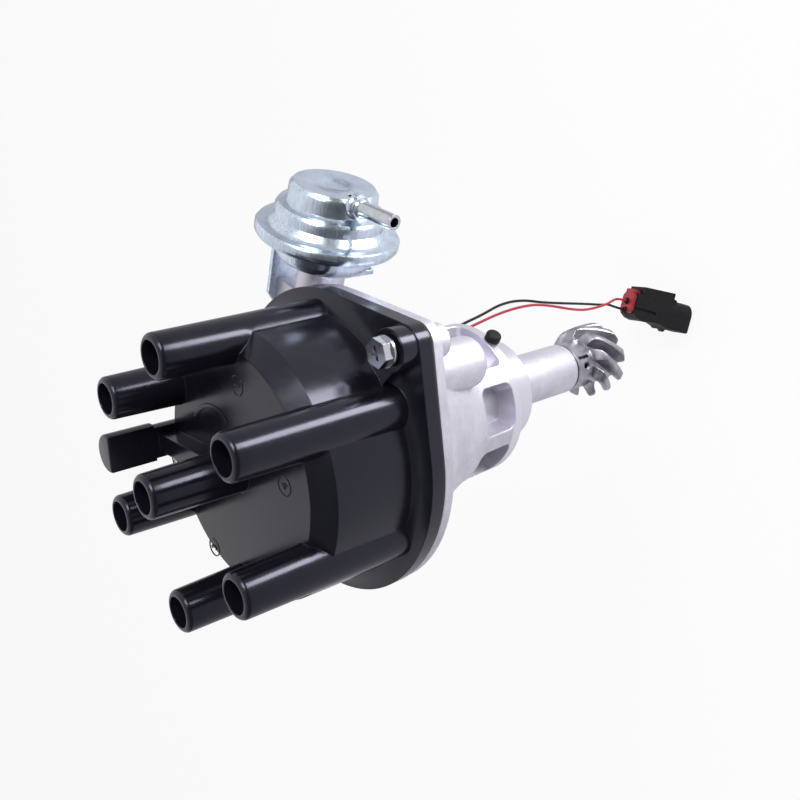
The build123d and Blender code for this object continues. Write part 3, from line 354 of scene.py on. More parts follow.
def tension_spring_tree():
    """A close-wound coil along z between two eyes, from each point."""
    tree, given = geometry_tree("Tension spring", [
        ("Turns", "Float", 16.0), ("Radius", "Float", 1.35 * MM), ("Wire", "Float", 0.7 * MM),
        ("Span", "Float", 18.0 * MM), ("Eye Radius", "Float", 1.9 * MM)])
    body = calculate(tree, "MULTIPLY", given["Turns"], given["Wire"])
    start = calculate(tree, "MULTIPLY", calculate(tree, "SUBTRACT", given["Span"], body), 0.5)
    coil = add(tree, "GeometryNodeCurveSpiral", {
        "Resolution": 20, "Rotations": given["Turns"], "Start Radius": given["Radius"], "End Radius": given["Radius"],
        "Height": body})
    lift = add(tree, "ShaderNodeCombineXYZ", {"Z": start})
    shapes = [round_wire(tree, add(tree, "GeometryNodeTransform", {
        "Geometry": coil.outputs[0], "Translation": lift.outputs[0]}).outputs[0], given["Wire"])]
    circle = add(tree, "GeometryNodeCurvePrimitiveCircle", {"Resolution": 28, "Radius": given["Eye Radius"]}).outputs[0]
    for place, side in ((0.0, 1.0), (given["Span"], -1.0)):
        at = add(tree, "ShaderNodeCombineXYZ", {"Z": place})
        eye = add(tree, "GeometryNodeTransform", {
            "Geometry": circle, "Translation": at.outputs[0], "Rotation": (0, math.pi / 2, 0)})
        shapes.append(round_wire(tree, eye.outputs[0], given["Wire"]))
        inner = calculate(tree, "ADD", place, calculate(tree, "MULTIPLY", given["Eye Radius"], side))
        reach = calculate(tree, "MULTIPLY", calculate(tree, "ADD", start, 0.4 * MM), side)
        outer = calculate(tree, "ADD", place, reach)
        line = add(tree, "GeometryNodeCurvePrimitiveLine", {
            "Start": add(tree, "ShaderNodeCombineXYZ", {"Z": inner}).outputs[0],
            "End": add(tree, "ShaderNodeCombineXYZ", {"Z": outer}).outputs[0]})
        shapes.append(round_wire(tree, line.outputs[0], given["Wire"]))
    return end_tree(tree, [on_points(tree, given, shape) for shape in shapes], given["Material"])


def winding_tree():
    """Turns of wire laid side by side on a core, up from each point."""
    tree, given = geometry_tree("Coil winding", [
        ("Turns", "Int", 16), ("Radius", "Float", 4.9 * MM), ("Length", "Float", 7.2 * MM)])
    pitch = calculate(tree, "DIVIDE", given["Length"], given["Turns"])
    radius = calculate(tree, "SUBTRACT", given["Radius"], calculate(tree, "MULTIPLY", pitch, 0.5))
    circle = add(tree, "GeometryNodeCurvePrimitiveCircle", {"Resolution": 40, "Radius": radius})
    turn = round_wire(tree, circle.outputs[0], pitch, 8)
    first = add(tree, "ShaderNodeCombineXYZ", {"Z": calculate(tree, "MULTIPLY", pitch, 0.5)})
    step = add(tree, "ShaderNodeCombineXYZ", {"Z": pitch})
    row = add(tree, "GeometryNodeMeshLine", {
        "Count": given["Turns"], "Start Location": first.outputs[0], "Offset": step.outputs[0]})
    turns = add(tree, "GeometryNodeInstanceOnPoints", {"Points": row.outputs[0], "Instance": turn})
    core = add(tree, "GeometryNodeMeshCylinder", {"Vertices": 40, "Radius": radius, "Depth": given["Length"]})
    lift = add(tree, "ShaderNodeCombineXYZ", {"Z": calculate(tree, "MULTIPLY", given["Length"], 0.5)})
    raised = add(tree, "GeometryNodeTransform", {"Geometry": core.outputs[0], "Translation": lift.outputs[0]})
    spread = [on_points(tree, given, shape) for shape in (turns.outputs[0], raised.outputs[0])]
    return end_tree(tree, spread, given["Material"])


# ---------------------------------------------------------------- materials
def shader(name):
    """A material with its tree cleared to one shader and one output, and its object coordinates."""
    material = bpy.data.materials.new(name)
    material.use_nodes = True
    tree = material.node_tree
    tree.nodes.clear()
    body = add(tree, "ShaderNodeBsdfPrincipled")
    add(tree, "ShaderNodeOutputMaterial", {"Surface": body.outputs[0]})
    place = add(tree, "ShaderNodeTexCoord").outputs["Object"]
    return material, tree, body, place


def ramp(tree, factor, stops):
    """A colour ramp from (place, colour) stops."""
    node = add(tree, "ShaderNodeValToRGB", {"Fac": factor})
    elements = node.color_ramp.elements
    while len(elements) < len(stops):
        elements.new(0.5)
    for element, (place, colour) in zip(elements, stops):
        element.position = place
        element.color = colour
    return node.outputs["Color"]


def noise(tree, place, size_mm, detail=3.0, roughness=0.55):
    """Cloudy noise whose patches are about a size in millimetres."""
    return add(tree, "ShaderNodeTexNoise", {
        "Vector": place, "Scale": 1 / (size_mm * MM), "Detail": detail, "Roughness": roughness}).outputs["Fac"]


def blend(tree, factor, low, high):
    """A colour between two, which may be sockets or values."""
    return add(tree, "ShaderNodeMix", {0: factor, 6: low, 7: high}, data_type="RGBA").outputs[2]


def darkened(tree, tone, by):
    """One colour multiplied by another."""
    return add(tree, "ShaderNodeMix", {0: 1.0, 6: tone, 7: by}, data_type="RGBA", blend_type="MULTIPLY").outputs[2]


def link(tree, body, **sockets):
    for key, value in sockets.items():
        tree.links.new(value, body.inputs[key.replace("_", " ")])


def broken_edges(tree, radius_mm):
    """The normal with edges rounded to a radius, and how far it has turned: 0 on a flat, towards 1 on an edge."""
    rounded = add(tree, "ShaderNodeBevel", {"Radius": radius_mm * MM}, samples=4).outputs[0]
    flat = add(tree, "ShaderNodeNewGeometry").outputs["Normal"]
    agree = add(tree, "ShaderNodeVectorMath", {0: rounded, 1: flat}, operation="DOT_PRODUCT").outputs["Value"]
    return rounded, add(tree, "ShaderNodeMapRange", {"Value": agree, 1: 1.0, 2: 0.8}).outputs[0]


def finish(name, colour, spread, metallic, rough, grain_mm, depth_mm, patch_mm=9.0, edge_mm=0.0, ior=None,
           level=0.5):
    """A surface whose colour and gloss drift in patches, over a fine grain in its relief and softly broken edges."""
    material, tree, body, place = shader(name)
    patches = noise(tree, place, patch_mm, 4.0, 0.6)
    tone = ramp(tree, patches, [(0.3, shade(colour, 1 - spread)), (0.7, shade(colour, 1 + spread))])
    gloss = ramp(tree, patches, [(0.25, grey(rough[0])), (0.75, grey(rough[1]))])
    relief = {"Height": noise(tree, place, grain_mm), "Distance": depth_mm * MM, "Strength": 1.0}
    if edge_mm:
        relief["Normal"] = broken_edges(tree, edge_mm)[0]
    relief = add(tree, "ShaderNodeBump", relief)
    link(tree, body, Base_Color=tone, Roughness=gloss, Normal=relief.outputs[0])
    body.inputs["Metallic"].default_value = metallic
    body.inputs["Specular IOR Level"].default_value = level
    if ior:
        body.inputs["IOR"].default_value = ior
    return material


def die_cast_aluminium(colour):
    """Cast bowl and shank in a satin skin, with a painted highlight lighter along every edge, and the pilot turned
    bright.
    """
    material, tree, body, place = shader("Aluminium, die cast, fettled and part turned")
    split = add(tree, "ShaderNodeSeparateXYZ", {"Vector": place})
    height = split.outputs["Z"]
    flat = add(tree, "ShaderNodeCombineXYZ", {"X": split.outputs["X"], "Y": split.outputs["Y"]})
    radius = add(tree, "ShaderNodeVectorMath", {0: flat.outputs[0]}, operation="LENGTH").outputs["Value"]
    below = calculate(tree, "LESS_THAN", height, SEAT_TOP * MM)
    turned = calculate(tree, "MULTIPLY", below, calculate(tree, "GREATER_THAN", radius, SHANK_SIDE * MM))
    rounded, edge = broken_edges(tree, 0.7)
    # soft clouds where the metal chilled first, a hand wide on the bowl, with a finer mottle over them
    clouds = noise(tree, place, 16.0, 5.0, 0.65)
    skin = ramp(tree, clouds, [(0.32, shade(colour, 0.84)), (0.68, shade(colour, 1.08))])
    mottle = ramp(tree, noise(tree, place, 1.6, 3.0, 0.7), [(0.35, grey(0.93)), (0.65, grey(1.0))])
    skin = darkened(tree, skin, mottle)
    # painted highlight: every edge is painted lighter than the cast skin
    cast = blend(tree, calculate(tree, "MULTIPLY", edge, 0.5), skin, shade(colour, 1.22))
    tone = blend(tree, turned, cast, shade(colour, 1.05))
    gloss = ramp(tree, clouds, [(0.3, grey(0.56)), (0.7, grey(0.43))])
    gloss = blend(tree, turned, gloss, grey(0.28))
    # the die's fine pebble, about a third of a millimetre, and the turning tool's feed marks, drawn coarse
    feed = calculate(tree, "SINE", calculate(tree, "MULTIPLY", height, 2 * math.pi / (0.7 * MM)))
    pebble = noise(tree, place, 0.7, 3.0, 0.6)
    feed = calculate(tree, "MULTIPLY", feed, 0.2)
    lines = add(tree, "ShaderNodeMix", {0: turned, 2: pebble, 3: feed}, data_type="FLOAT")
    relief = add(tree, "ShaderNodeBump", {"Height": lines.outputs[0], "Distance": 0.07 * MM, "Normal": rounded})
    link(tree, body, Base_Color=tone, Roughness=gloss, Normal=relief.outputs[0])
    body.inputs["Metallic"].default_value = 0.9
    return material


def blue_zinc(name, colour, stretch):
    """Zinc plate over drawn steel: cool and nearly a mirror, clouded, with draw lines along the can's axis."""
    material, tree, body, place = shader(name)
    home = unit_frame().inverted()
    local = add(tree, "ShaderNodeMapping", {
        "Vector": place, "Location": home.to_translation(), "Rotation": home.to_euler()})
    drawn = add(tree, "ShaderNodeVectorMath", {0: local.outputs[0], 1: (1.0, 1.0, stretch)}, operation="MULTIPLY")
    # draw lines about half a millimetre apart, which are finer on the real can
    streak = noise(tree, drawn.outputs[0], 0.55, 3.0, 0.7)
    cloud = noise(tree, place, 7.0, 4.0, 0.6)
    tone = ramp(tree, cloud, [(0.3, shade(colour, 0.86)), (0.7, shade(colour, 1.1))])
    fine = ramp(tree, streak, [(0.36, grey(0.74)), (0.62, grey(1.0))])
    tone = darkened(tree, tone, fine)
    gloss = ramp(tree, cloud, [(0.25, grey(0.19)), (0.75, grey(0.29))])
    rounded = broken_edges(tree, 0.35)[0]
    relief = add(tree, "ShaderNodeBump", {"Height": streak, "Distance": 0.012 * MM, "Normal": rounded})
    link(tree, body, Base_Color=tone, Roughness=gloss, Normal=relief.outputs[0])
    body.inputs["Metallic"].default_value = 1.0
    return material


def cap_plastic(colour):
    """Black mouldings straight from a polished tool: deep gloss with a soft ripple, satin clouds, rounded edges and a
    painted highlight along them.
    """
    material, tree, body, place = shader("PBT, injection moulded, black")
    clouds = noise(tree, place, 18.0, 3.0, 0.6)
    tone = ramp(tree, clouds, [(0.3, shade(colour, 0.8)), (0.7, shade(colour, 1.25))])
    # a bloom from the release agent dulls it in soft patches, and fine wipe marks run through the gloss
    wipes = add(tree, "ShaderNodeVectorMath", {0: place, 1: (1.0, 0.16, 0.16)}, operation="MULTIPLY").outputs[0]
    marks = noise(tree, wipes, 0.8, 4.0, 0.7)
    gloss = ramp(tree, clouds, [(0.3, grey(0.15)), (0.7, grey(0.23))])
    gloss = blend(tree, 0.18, gloss, ramp(tree, marks, [(0.4, grey(0.16)), (0.7, grey(0.42))]))
    rounded, edge = broken_edges(tree, 0.55)
    # painted highlight: the edges are painted lighter than the black moulding
    tone = blend(tree, calculate(tree, "MULTIPLY", edge, 0.35), tone, shade(colour, 2.2))
    ripple = noise(tree, place, 4.5, 1.5, 0.4)
    relief = add(tree, "ShaderNodeBump", {"Height": ripple, "Distance": 0.011 * MM, "Normal": rounded})
    link(tree, body, Base_Color=tone, Roughness=gloss, Normal=relief.outputs[0])
    body.inputs["IOR"].default_value = 1.5
    body.inputs["Specular IOR Level"].default_value = 0.42
    body.inputs["Specular Tint"].default_value = linear("#E6E6FF")
    return material


def build_materials(colours):
    """Every finish on the object, by a short key."""
    rgb = linear
    return {
        "cap": cap_plastic(colours.cap),
        "cast": die_cast_aluminium(colours.casting),
        "can": blue_zinc("Steel, deep drawn and blue-bright zinc plated", colours.zinc, 0.05),
        "plate": blue_zinc("Steel strip, folded and blue-bright zinc plated", colours.zinc, 0.35),
        # duller than the cap, from a textured tool, with the grain of its filler
        "rotor": finish("Phenolic, compression moulded", rgb("#141414"), 0.15, 0.0, (0.34, 0.46), 1.2, 0.02, 8.0, 0.3,
                        1.55),
        # barrel plated: bright on the flats, with small dull knocks
        "screw": finish("Steel, barrel zinc plated", rgb("#BFC2C9"), 0.12, 1.0, (0.14, 0.26), 1.2, 0.016, 2.5, 0.18),
        # a dull, finely pitted skin, tumbled bright on its high places
        "gear": finish("Steel, investment cast and tumbled", rgb("#A19EA7"), 0.24, 1.0, (0.26, 0.42), 0.9, 0.06, 4.5,
                       0.5),
        # even and bright, with the grinding wheel's fine grain
        "turned": finish("Steel, centreless ground", rgb("#B0B0B6"), 0.06, 1.0, (0.20, 0.28), 0.6, 0.006, 6.0, 0.1),
        # the flat grey of cold rolled strip with a little oil on it
        "sheet": finish("Steel sheet, pressed", rgb("#A6A7AC"), 0.1, 1.0, (0.28, 0.40), 0.9, 0.01, 8.0, 0.15),
        "spring": finish("Spring steel, drawn wire", rgb("#85868B"), 0.1, 1.0, (0.24, 0.34), 0.5, 0.006, 4.0),
        # open pores filled with oil make it darker and duller than cast bronze
        "bronze": finish("Bronze, sintered and oil filled", rgb("#8F6E40"), 0.12, 1.0, (0.42, 0.56), 0.4, 0.03, 4.0,
                         0.15),
        "brass": finish("Brass, stamped", rgb("#C79E58"), 0.12, 1.0, (0.22, 0.34), 0.7, 0.008, 4.0, 0.15),
        # soft black with a slight bloom
        "rubber": finish("Nitrile rubber, moulded", rgb("#121213"), 0.2, 0.0, (0.55, 0.72), 0.5, 0.03, 5.0, 0.4, 1.5,
                         0.25),
        "gasket": finish("Cork and rubber sheet, die cut", rgb("#34322E"), 0.2, 0.0, (0.75, 0.86), 0.5, 0.05, 3.0, 0.0,
                         1.5),
        "carbon": finish("Carbon, pressed", rgb("#1C1C1E"), 0.2, 0.2, (0.40, 0.55), 0.4, 0.02, 2.0),
        "felt": finish("Wool felt, oiled", rgb("#B5AC94"), 0.15, 0.0, (0.85, 0.95), 0.4, 0.12, 2.0),
        "nylon": finish("Nylon, natural", rgb("#DDD8CA"), 0.06, 0.0, (0.38, 0.48), 0.8, 0.01, 4.0, 0.2, 1.53),
        "ferrite": finish("Ferrite magnet, ground", rgb("#292A2E"), 0.15, 0.3, (0.42, 0.55), 0.4, 0.02, 3.0),
        # the enamel's deep amber over copper
        "winding": finish("Copper wire, enamelled", rgb("#7A3A1C"), 0.2, 0.7, (0.20, 0.30), 0.5, 0.02, 2.0),
        # a soft satin sheath with the slight unevenness of extrusion
        "red wire": finish("PVC insulation, red", colours.red_wire, 0.1, 0.0, (0.34, 0.44), 1.0, 0.01, 6.0, 0.0, 1.53),
        "black wire": finish("PVC insulation, black", rgb("#121315"), 0.2, 0.0, (0.34, 0.44), 1.0, 0.01, 6.0, 0.0, 1.53,
                             0.3),
        # matt black with the glass fibre's dry look and a scatter of paler scuffs
        "connector": finish("Glass-filled nylon, black", colours.connector, 0.3, 0.0, (0.46, 0.62), 0.45, 0.03, 3.0,
                            0.35, 1.5, 0.22),
        "lock": finish("Nylon, red", colours.lock, 0.14, 0.0, (0.36, 0.48), 0.6, 0.015, 4.0, 0.3, 1.53),
    }


# inner pieces keep their solids and take a finish
PLAIN = {
    "lower_bush": "bronze", "upper_bush": "bronze", "shaft_seal": "rubber", "cap_terminals": "brass",
    "centre_terminal": "brass", "carbon_brush": "carbon", "upper_thrust_washer": "turned", "weight_base": "sheet",
    "weight_clips": "spring", "flyweight_a": "sheet", "flyweight_b": "sheet", "sleeve_clip": "spring",
    "advance_sleeve": "turned", "reluctor": "sheet", "oil_felt": "felt", "rotor_arm": "rotor",
    "rotor_electrode": "brass", "rotor_contact_spring": "spring", "fixed_plate": "sheet",
    "fixed_plate_screws": "screw", "glide_buttons": "nylon", "plate_retainer": "spring", "swing_plate": "plate",
    "pickup_bracket": "sheet", "pickup_magnet": "ferrite", "pole_piece": "sheet", "pickup_bobbin": "nylon",
    "pickup_screws": "screw", "diaphragm": "rubber", "diaphragm_plates": "sheet", "pull_rod": "sheet",
    "connector_seals": "rubber", "connector_terminals": "brass",
}
SURFACES = {}


# ---------------------------------------------------------------- settings
def length(name, text, value, low=0.0):
    """A length property in metres from millimetres."""
    return bpy.props.FloatProperty(name=name, description=text, default=value * MM, min=low, precision=5, unit="LENGTH")


def number(name, text, value, low=0.0, **more):
    return bpy.props.FloatProperty(name=name, description=text, default=value, min=low, **more)


def count(name, text, value, low, high):
    return bpy.props.IntProperty(name=name, description=text, default=value, min=low, max=high)


def colour(name, text, value):
    return bpy.props.FloatVectorProperty(name=name, description=text, default=linear(value), size=4, min=0.0, max=1.0,
                                         subtype="COLOR")


class ColourSettings(bpy.types.PropertyGroup):
    cap: colour("Cap", "Colour of the cap's plastic", "#101016")
    casting: colour("Casting", "Colour of the housing's aluminium", "#D6D3DD")
    zinc: colour("Zinc plate", "Colour of the vacuum can and its bracket", "#D2DFEE")
    red_wire: colour("Red wire", "Colour of the red wire's sheath", "#C4263C")
    connector: colour("Connector", "Colour of the connector's body", "#141417")
    lock: colour("Lock", "Colour of the connector's lock", "#A11F28")


class FigureSettings(bpy.types.PropertyGroup):
    ring_radius: length("Ring radius", "Radius of the ring round each figure on the cap", 3.1)
    line_width: length("Line width", "Thickness of the raised line", 0.5)
    figure_size: length("Figure size", "Height of each figure", 4.2)
    height: length("Height", "How far the figures stand up", 0.3)
    arc_radius: length("Arc radius", "Radius of the raised arc beside the middle tower", 12.8)


class WasherSettings(bpy.types.PropertyGroup):
    teeth: count("Teeth", "Number of teeth on each lock washer", 14, 6, 30)
    bore: length("Bore", "Inner radius of the washer", 2.7)
    rim: length("Rim", "Radius at the foot of its teeth", 4.4)
    reach: length("Reach", "Radius at the tips of its teeth", 5.55)
    twist: bpy.props.FloatProperty(name="Twist", description="Set of each tooth", default=0.3, subtype="ANGLE")


class SpringSettings(bpy.types.PropertyGroup):
    vacuum_turns: number("Vacuum spring turns", "Turns of the spring behind the diaphragm", 6.0, 2.0)
    vacuum_wire: length("Vacuum spring wire", "Wire of the spring behind the diaphragm", 1.1)
    advance_turns: number("Advance spring turns", "Turns of each advance spring", 16.0, 4.0)
    advance_wire: length("Advance spring wire", "Wire of each advance spring", 0.7)
    winding_turns: count("Winding turns", "Turns that show on the pick-up coil", 16, 4, 60)


class LeadSettings(bpy.types.PropertyGroup):
    wire_diameter: length("Wire diameter", "Diameter of each wire over its sheath", 1.3)


class StageSettings(bpy.types.PropertyGroup):
    lens: bpy.props.FloatProperty(name="Lens", description="Focal length of the camera", default=39.99, unit="CAMERA")
    floor_z: length("Floor", "Height of the floor", -214.6, -1.0)
    key_power: number("Key light", "Power of the main soft box", 4.0, unit="POWER")
    fill_power: number("Fill light", "Power of the second soft box", 1.3, unit="POWER")
    strip_power: number("Strip light", "Power of the low strip that streaks the cap", 0.8, unit="POWER")
    ambient: number("Ambient", "Even light from all round", 0.55)


# ---------------------------------------------------------------- stage
CAMERA_PLACE = (106.133, -228.261, 234.22)
CAMERA_RIGHT = (-0.01845929, -0.66394896, -0.74755002)
CAMERA_DOWN = (-0.95030566, -0.22074487, 0.21952416)
CAMERA_AHEAD = (-0.31077067, 0.71445328, -0.62687966)


class BuildStage(bpy.types.Operator):
    """Camera, soft boxes, world and floor"""
    bl_idname = "distributor.stage"
    bl_label = "Stage"

    def execute(self, context):
        settings = context.scene.distributor_stage
        scene = context.scene
        camera = bpy.data.cameras.new("camera")
        camera.lens = settings.lens
        camera.sensor_width = 36.0
        camera.clip_start = 0.01
        view = new_object("camera", camera)
        turn = Matrix((CAMERA_RIGHT, [-v for v in CAMERA_DOWN], [-v for v in CAMERA_AHEAD])).transposed().to_4x4()
        turn.translation = Vector(CAMERA_PLACE) * MM
        view.matrix_world = turn
        scene.camera = view
        scene.view_settings.view_transform = "Standard"
        self.soft_box("key", (0.55, -0.25, 0.55), (0.32, 0.32), settings.key_power)
        fill = self.soft_box("fill", (-0.25, -0.55, 0.35), (0.30, 0.40), settings.fill_power)
        fill.visible_glossy = False
        # a strip low on one side draws the bright streak down the towers; it lights nothing by itself
        strip = self.soft_box("strip", (0.19, -0.155, -0.05), (0.09, 0.18), settings.strip_power)
        strip.visible_diffuse = False
        self.world(scene, settings.ambient)
        self.floor(settings.floor_z)
        return {"FINISHED"}

    def soft_box(self, name, place, size, power):
        lamp = bpy.data.lights.new(name, "AREA")
        lamp.shape = "RECTANGLE"
        lamp.size, lamp.size_y = size
        lamp.energy = power
        box = new_object(name, lamp)
        box.location = place
        box.rotation_euler = (Vector(place) - Vector((0, 0, 0.05))).to_track_quat("Z", "Y").to_euler()
        box.visible_camera = False
        return box

    def world(self, scene, ambient):
        world = bpy.data.worlds.new("studio")
        scene.world = world
        world.use_nodes = True
        tree = world.node_tree
        tree.nodes.clear()
        path = add(tree, "ShaderNodeLightPath")
        direction = add(tree, "ShaderNodeTexCoord").outputs["Generated"]
        # the white sweep stands on one side, and the room behind the stand is darker
        facing = add(tree, "ShaderNodeVectorMath", {0: direction, 1: (0.35, 0.87, 0.35)}, operation="DOT_PRODUCT")
        across = add(tree, "ShaderNodeMapRange", {"Value": facing.outputs["Value"], 1: -0.7, 2: 0.9})
        stops = [(0.0, grey(0.12)), (0.3, grey(0.2)), (0.55, grey(0.75)), (1.0, grey(1.0))]
        studio = ramp(tree, across.outputs[0], stops)
        even = add(tree, "ShaderNodeBackground", {"Color": linear("#F6F6FF"), "Strength": ambient})
        mirror = add(tree, "ShaderNodeBackground", {"Color": studio, "Strength": 1.0})
        white = add(tree, "ShaderNodeBackground", {"Color": linear("#FFFFFF"), "Strength": 1.0})
        shine = calculate(tree, "MAXIMUM", path.outputs["Is Glossy Ray"], path.outputs["Is Transmission Ray"])
        first = add(tree, "ShaderNodeMixShader", {0: shine, 1: even.outputs[0], 2: mirror.outputs[0]})
        last = add(tree, "ShaderNodeMixShader", {
            0: path.outputs["Is Camera Ray"], 1: first.outputs[0], 2: white.outputs[0]})
        add(tree, "ShaderNodeOutputWorld", {"Surface": last.outputs[0]})

    def floor(self, height):
        mesh = bpy.data.meshes.new("floor")
        corners = [(x * FLOOR_HALF, y * FLOOR_HALF, height) for x, y in ((-1, -1), (1, -1), (1, 1), (-1, 1))]
        mesh.from_pydata(corners, [], [(0, 1, 2, 3)])
        floor = new_object("floor", mesh)
        material, tree, body, _ = shader("Paper, white")
        body.inputs["Base Color"].default_value = linear("#F4F4F4")
        body.inputs["Roughness"].default_value = 0.9
        path = add(tree, "ShaderNodeLightPath")
        glow = add(tree, "ShaderNodeEmission", {"Color": linear("#FFFFFF"), "Strength": 1.0})
        clear = calculate(tree, "MULTIPLY", path.outputs["Is Camera Ray"], 0.88)
        sweep = add(tree, "ShaderNodeMixShader", {0: clear, 1: body.outputs[0], 2: glow.outputs[0]})
        out = next(n for n in tree.nodes if n.type == "OUTPUT_MATERIAL")
        tree.links.new(sweep.outputs[0], out.inputs["Surface"])
        mesh.materials.append(material)


# ---------------------------------------------------------------- pieces
def settle(piece, body, material, *nodes):
    """Give a made piece its finish, the body it rides on and the solids it stands for."""
    if not piece.data.materials:
        piece.data.materials.append(material)
    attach(piece, body)
    if nodes:
        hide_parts(*nodes)
    return piece


class BuildFinishes(bpy.types.Operator):
    """Every finish, and the finishes of the inner mechanism"""
    bl_idname = "distributor.finishes"
    bl_label = "Finishes"

    def execute(self, context):
        SURFACES.update(build_materials(context.scene.distributor_colours))
        for node, key in PLAIN.items():
            mesh = NODES[node].data
            mesh.materials.clear()
            mesh.materials.append(SURFACES[key])
        return {"FINISHED"}


class BuildCasting(bpy.types.Operator):
    """The housing casting, its gasket, grommet and plug"""
    bl_idname = "distributor.casting"
    bl_label = "Housing"

    def execute(self, context):
        dressed("housing", "housing_casting", SURFACES["cast"])
        dressed("cap_gasket", "gasket_sheet", SURFACES["gasket"])
        dressed("rim_plug", "rim_plug_rubber", SURFACES["rubber"])
        dressed("lead_grommet", "grommet_rubber", SURFACES["rubber"])
        return {"FINISHED"}


# where the figures stand on the cap's face: radius and angle
FIGURE_PLACES = ((28.7, -9.2), (41.0, 102.4), (39.0, 151.4), (26.9, -84.5))


class BuildCap(bpy.types.Operator):
    """The cap moulding, with the ringed figures and the arc raised on its face"""
    bl_idname = "distributor.cap"
    bl_label = "Cap"

    def execute(self, context):
        sizes = context.scene.distributor_figures
        dressed("distributor_cap", "cap_moulding", SURFACES["cap"])
        spots = [polar(radius, angle, CAP_FACE_Z - 0.05) for radius, angle in FIGURE_PLACES]
        figures = grown("cap_figures", spots, figures_tree(), {
            "Ring Radius": sizes.ring_radius, "Line Width": sizes.line_width, "Figure Size": sizes.figure_size,
            "Height": sizes.height, "Material": SURFACES["cap"]}, angle=30.0)
        settle(figures, "fixed_body", SURFACES["cap"])
        arc = grown("cap_arc", [ARC_CENTRE * MM], arc_tree(), {
            "Radius": sizes.arc_radius, "Height": 2 * sizes.height, "Material": SURFACES["cap"]}, angle=30.0)
        settle(arc, "fixed_body", SURFACES["cap"])
        return {"FINISHED"}


class BuildFastenings(bpy.types.Operator):
    """Screws and toothed lock washers"""
    bl_idname = "distributor.fastenings"
    bl_label = "Screws"

    def execute(self, context):
        sizes = context.scene.distributor_washers
        dressed("cap_screws", "cap_screw_pair", SURFACES["screw"])
        dressed("vacuum_bracket_screws", "bracket_screw_pair", SURFACES["screw"])
        spots = [polar(EAR_RING, angle, WASHER_FOOT + 0.5) for angle in EAR_ANGLES]
        washers = grown("cap_lock_washers", spots, lock_washer_tree(), {
            "Teeth": sizes.teeth, "Bore": sizes.bore, "Rim": sizes.rim, "Reach": sizes.reach, "Twist": sizes.twist,
            "Material": SURFACES["screw"]})
        settle(washers, "fixed_body", SURFACES["screw"], "cap_screw_washers")
        return {"FINISHED"}


class BuildVacuumUnit(bpy.types.Operator):
    """The vacuum can, its dish, pipe and bracket"""
    bl_idname = "distributor.vacuum_unit"
    bl_label = "Vacuum unit"

    def execute(self, context):
        dressed("vacuum_can", "vacuum_can_pressing", SURFACES["can"], 38)
        dressed("vacuum_dish", "vacuum_dish_pressing", SURFACES["can"], 38)
        dressed("vacuum_nipple", "vacuum_pipe", SURFACES["screw"])
        dressed("vacuum_bracket", "vacuum_bracket_pressing", SURFACES["plate"])
        # the brazed fillet round the pipe's root, where it goes into the can
        root, tip = [unit_frame() @ ((PIPE_ROOT + PIPE_ALONG * reach) * MM) for reach in PIPE_FILLET]
        profile = [(2.4, 0.0), (4.4, 0.0), (4.3, 0.9), (3.8, 1.5), (3.1, 2.2), (2.65, 3.2), (2.4, 3.4)]
        fillet = turned_piece("pipe_fillet", profile, placed((0, 0, 1), tip - root, root))
        settle(fillet, "fixed_body", SURFACES["can"])
        return {"FINISHED"}


class BuildSprings(bpy.types.Operator):
    """The coil springs and the pick-up coil's winding"""
    bl_idname = "distributor.springs"
    bl_label = "Springs and winding"

    def execute(self, context):
        sizes = context.scene.distributor_springs
        open_coil = compression_spring_tree()
        origin = [(0, 0, 0)]
        wire = sizes.vacuum_wire
        radius, start, span = VACUUM_SPRING
        vacuum = grown("vacuum_return_spring", origin, open_coil, {
            "Turns": sizes.vacuum_turns, "Radius": radius * MM - wire / 2, "Height": span * MM - wire, "Wire": wire,
            "Material": SURFACES["spring"]}, unit_frame() @ Matrix.Translation((0, 0, start * MM + wire / 2)))
        settle(vacuum, "fixed_body", SURFACES["spring"], "vacuum_spring")
        radius, start, span, wire = BRUSH_SPRING
        brush = grown("brush_return_spring", origin, open_coil, {
            "Turns": BRUSH_TURNS, "Radius": radius * MM, "Height": span * MM, "Wire": wire * MM,
            "Material": SURFACES["spring"]}, Matrix.Translation((0, 0, start * MM)))
        settle(brush, "fixed_body", SURFACES["spring"], "brush_spring")
        close_coil = tension_spring_tree()
        wire = sizes.advance_wire
        for node, half in (("advance_spring_a", 0), ("advance_spring_b", 180)):
            post = polar(SPRING_POST[0], SPRING_POST[1] + half, SPRING_Z)
            stud = polar(SPRING_STUD[0], SPRING_STUD[1] + half, SPRING_Z)
            spring = grown(node + "_wire", origin, close_coil, {
                "Turns": sizes.advance_turns, "Radius": ADVANCE_SPRING_R * MM - wire / 2, "Wire": wire,
                "Span": (stud - post).length, "Eye Radius": ADVANCE_EYE_R * MM, "Material": SURFACES["spring"]},
                placed((0, 0, 1), stud - post, post))
            settle(spring, "drive_shaft", SURFACES["spring"], node)
        spoke = polar(1000, PICKUP_ANGLE)
        radius, span, start = WINDING
        winding = grown("pickup_winding", origin, winding_tree(), {
            "Turns": sizes.winding_turns, "Radius": radius * MM, "Length": span * MM, "Material": SURFACES["winding"]},
            placed((0, 0, 1), spoke, polar(start, PICKUP_ANGLE, POLE_Z)))
        settle(winding, "pickup_group", SURFACES["winding"], "pickup_coil")
        return {"FINISHED"}


class BuildDrive(bpy.types.Operator):
    """The drive gear, its pin, the shaft and the thrust washer"""
    bl_idname = "distributor.drive"
    bl_label = "Drive gear"

    def execute(self, context):
        dressed("drive_gear", "gear_casting", SURFACES["gear"], 40)
        dressed("main_shaft", "shaft_bar", SURFACES["turned"])
        dressed("gear_roll_pin", "roll_pin", SURFACES["spring"])
        dressed("lower_thrust_washer", "thrust_washer", SURFACES["turned"])
        return {"FINISHED"}


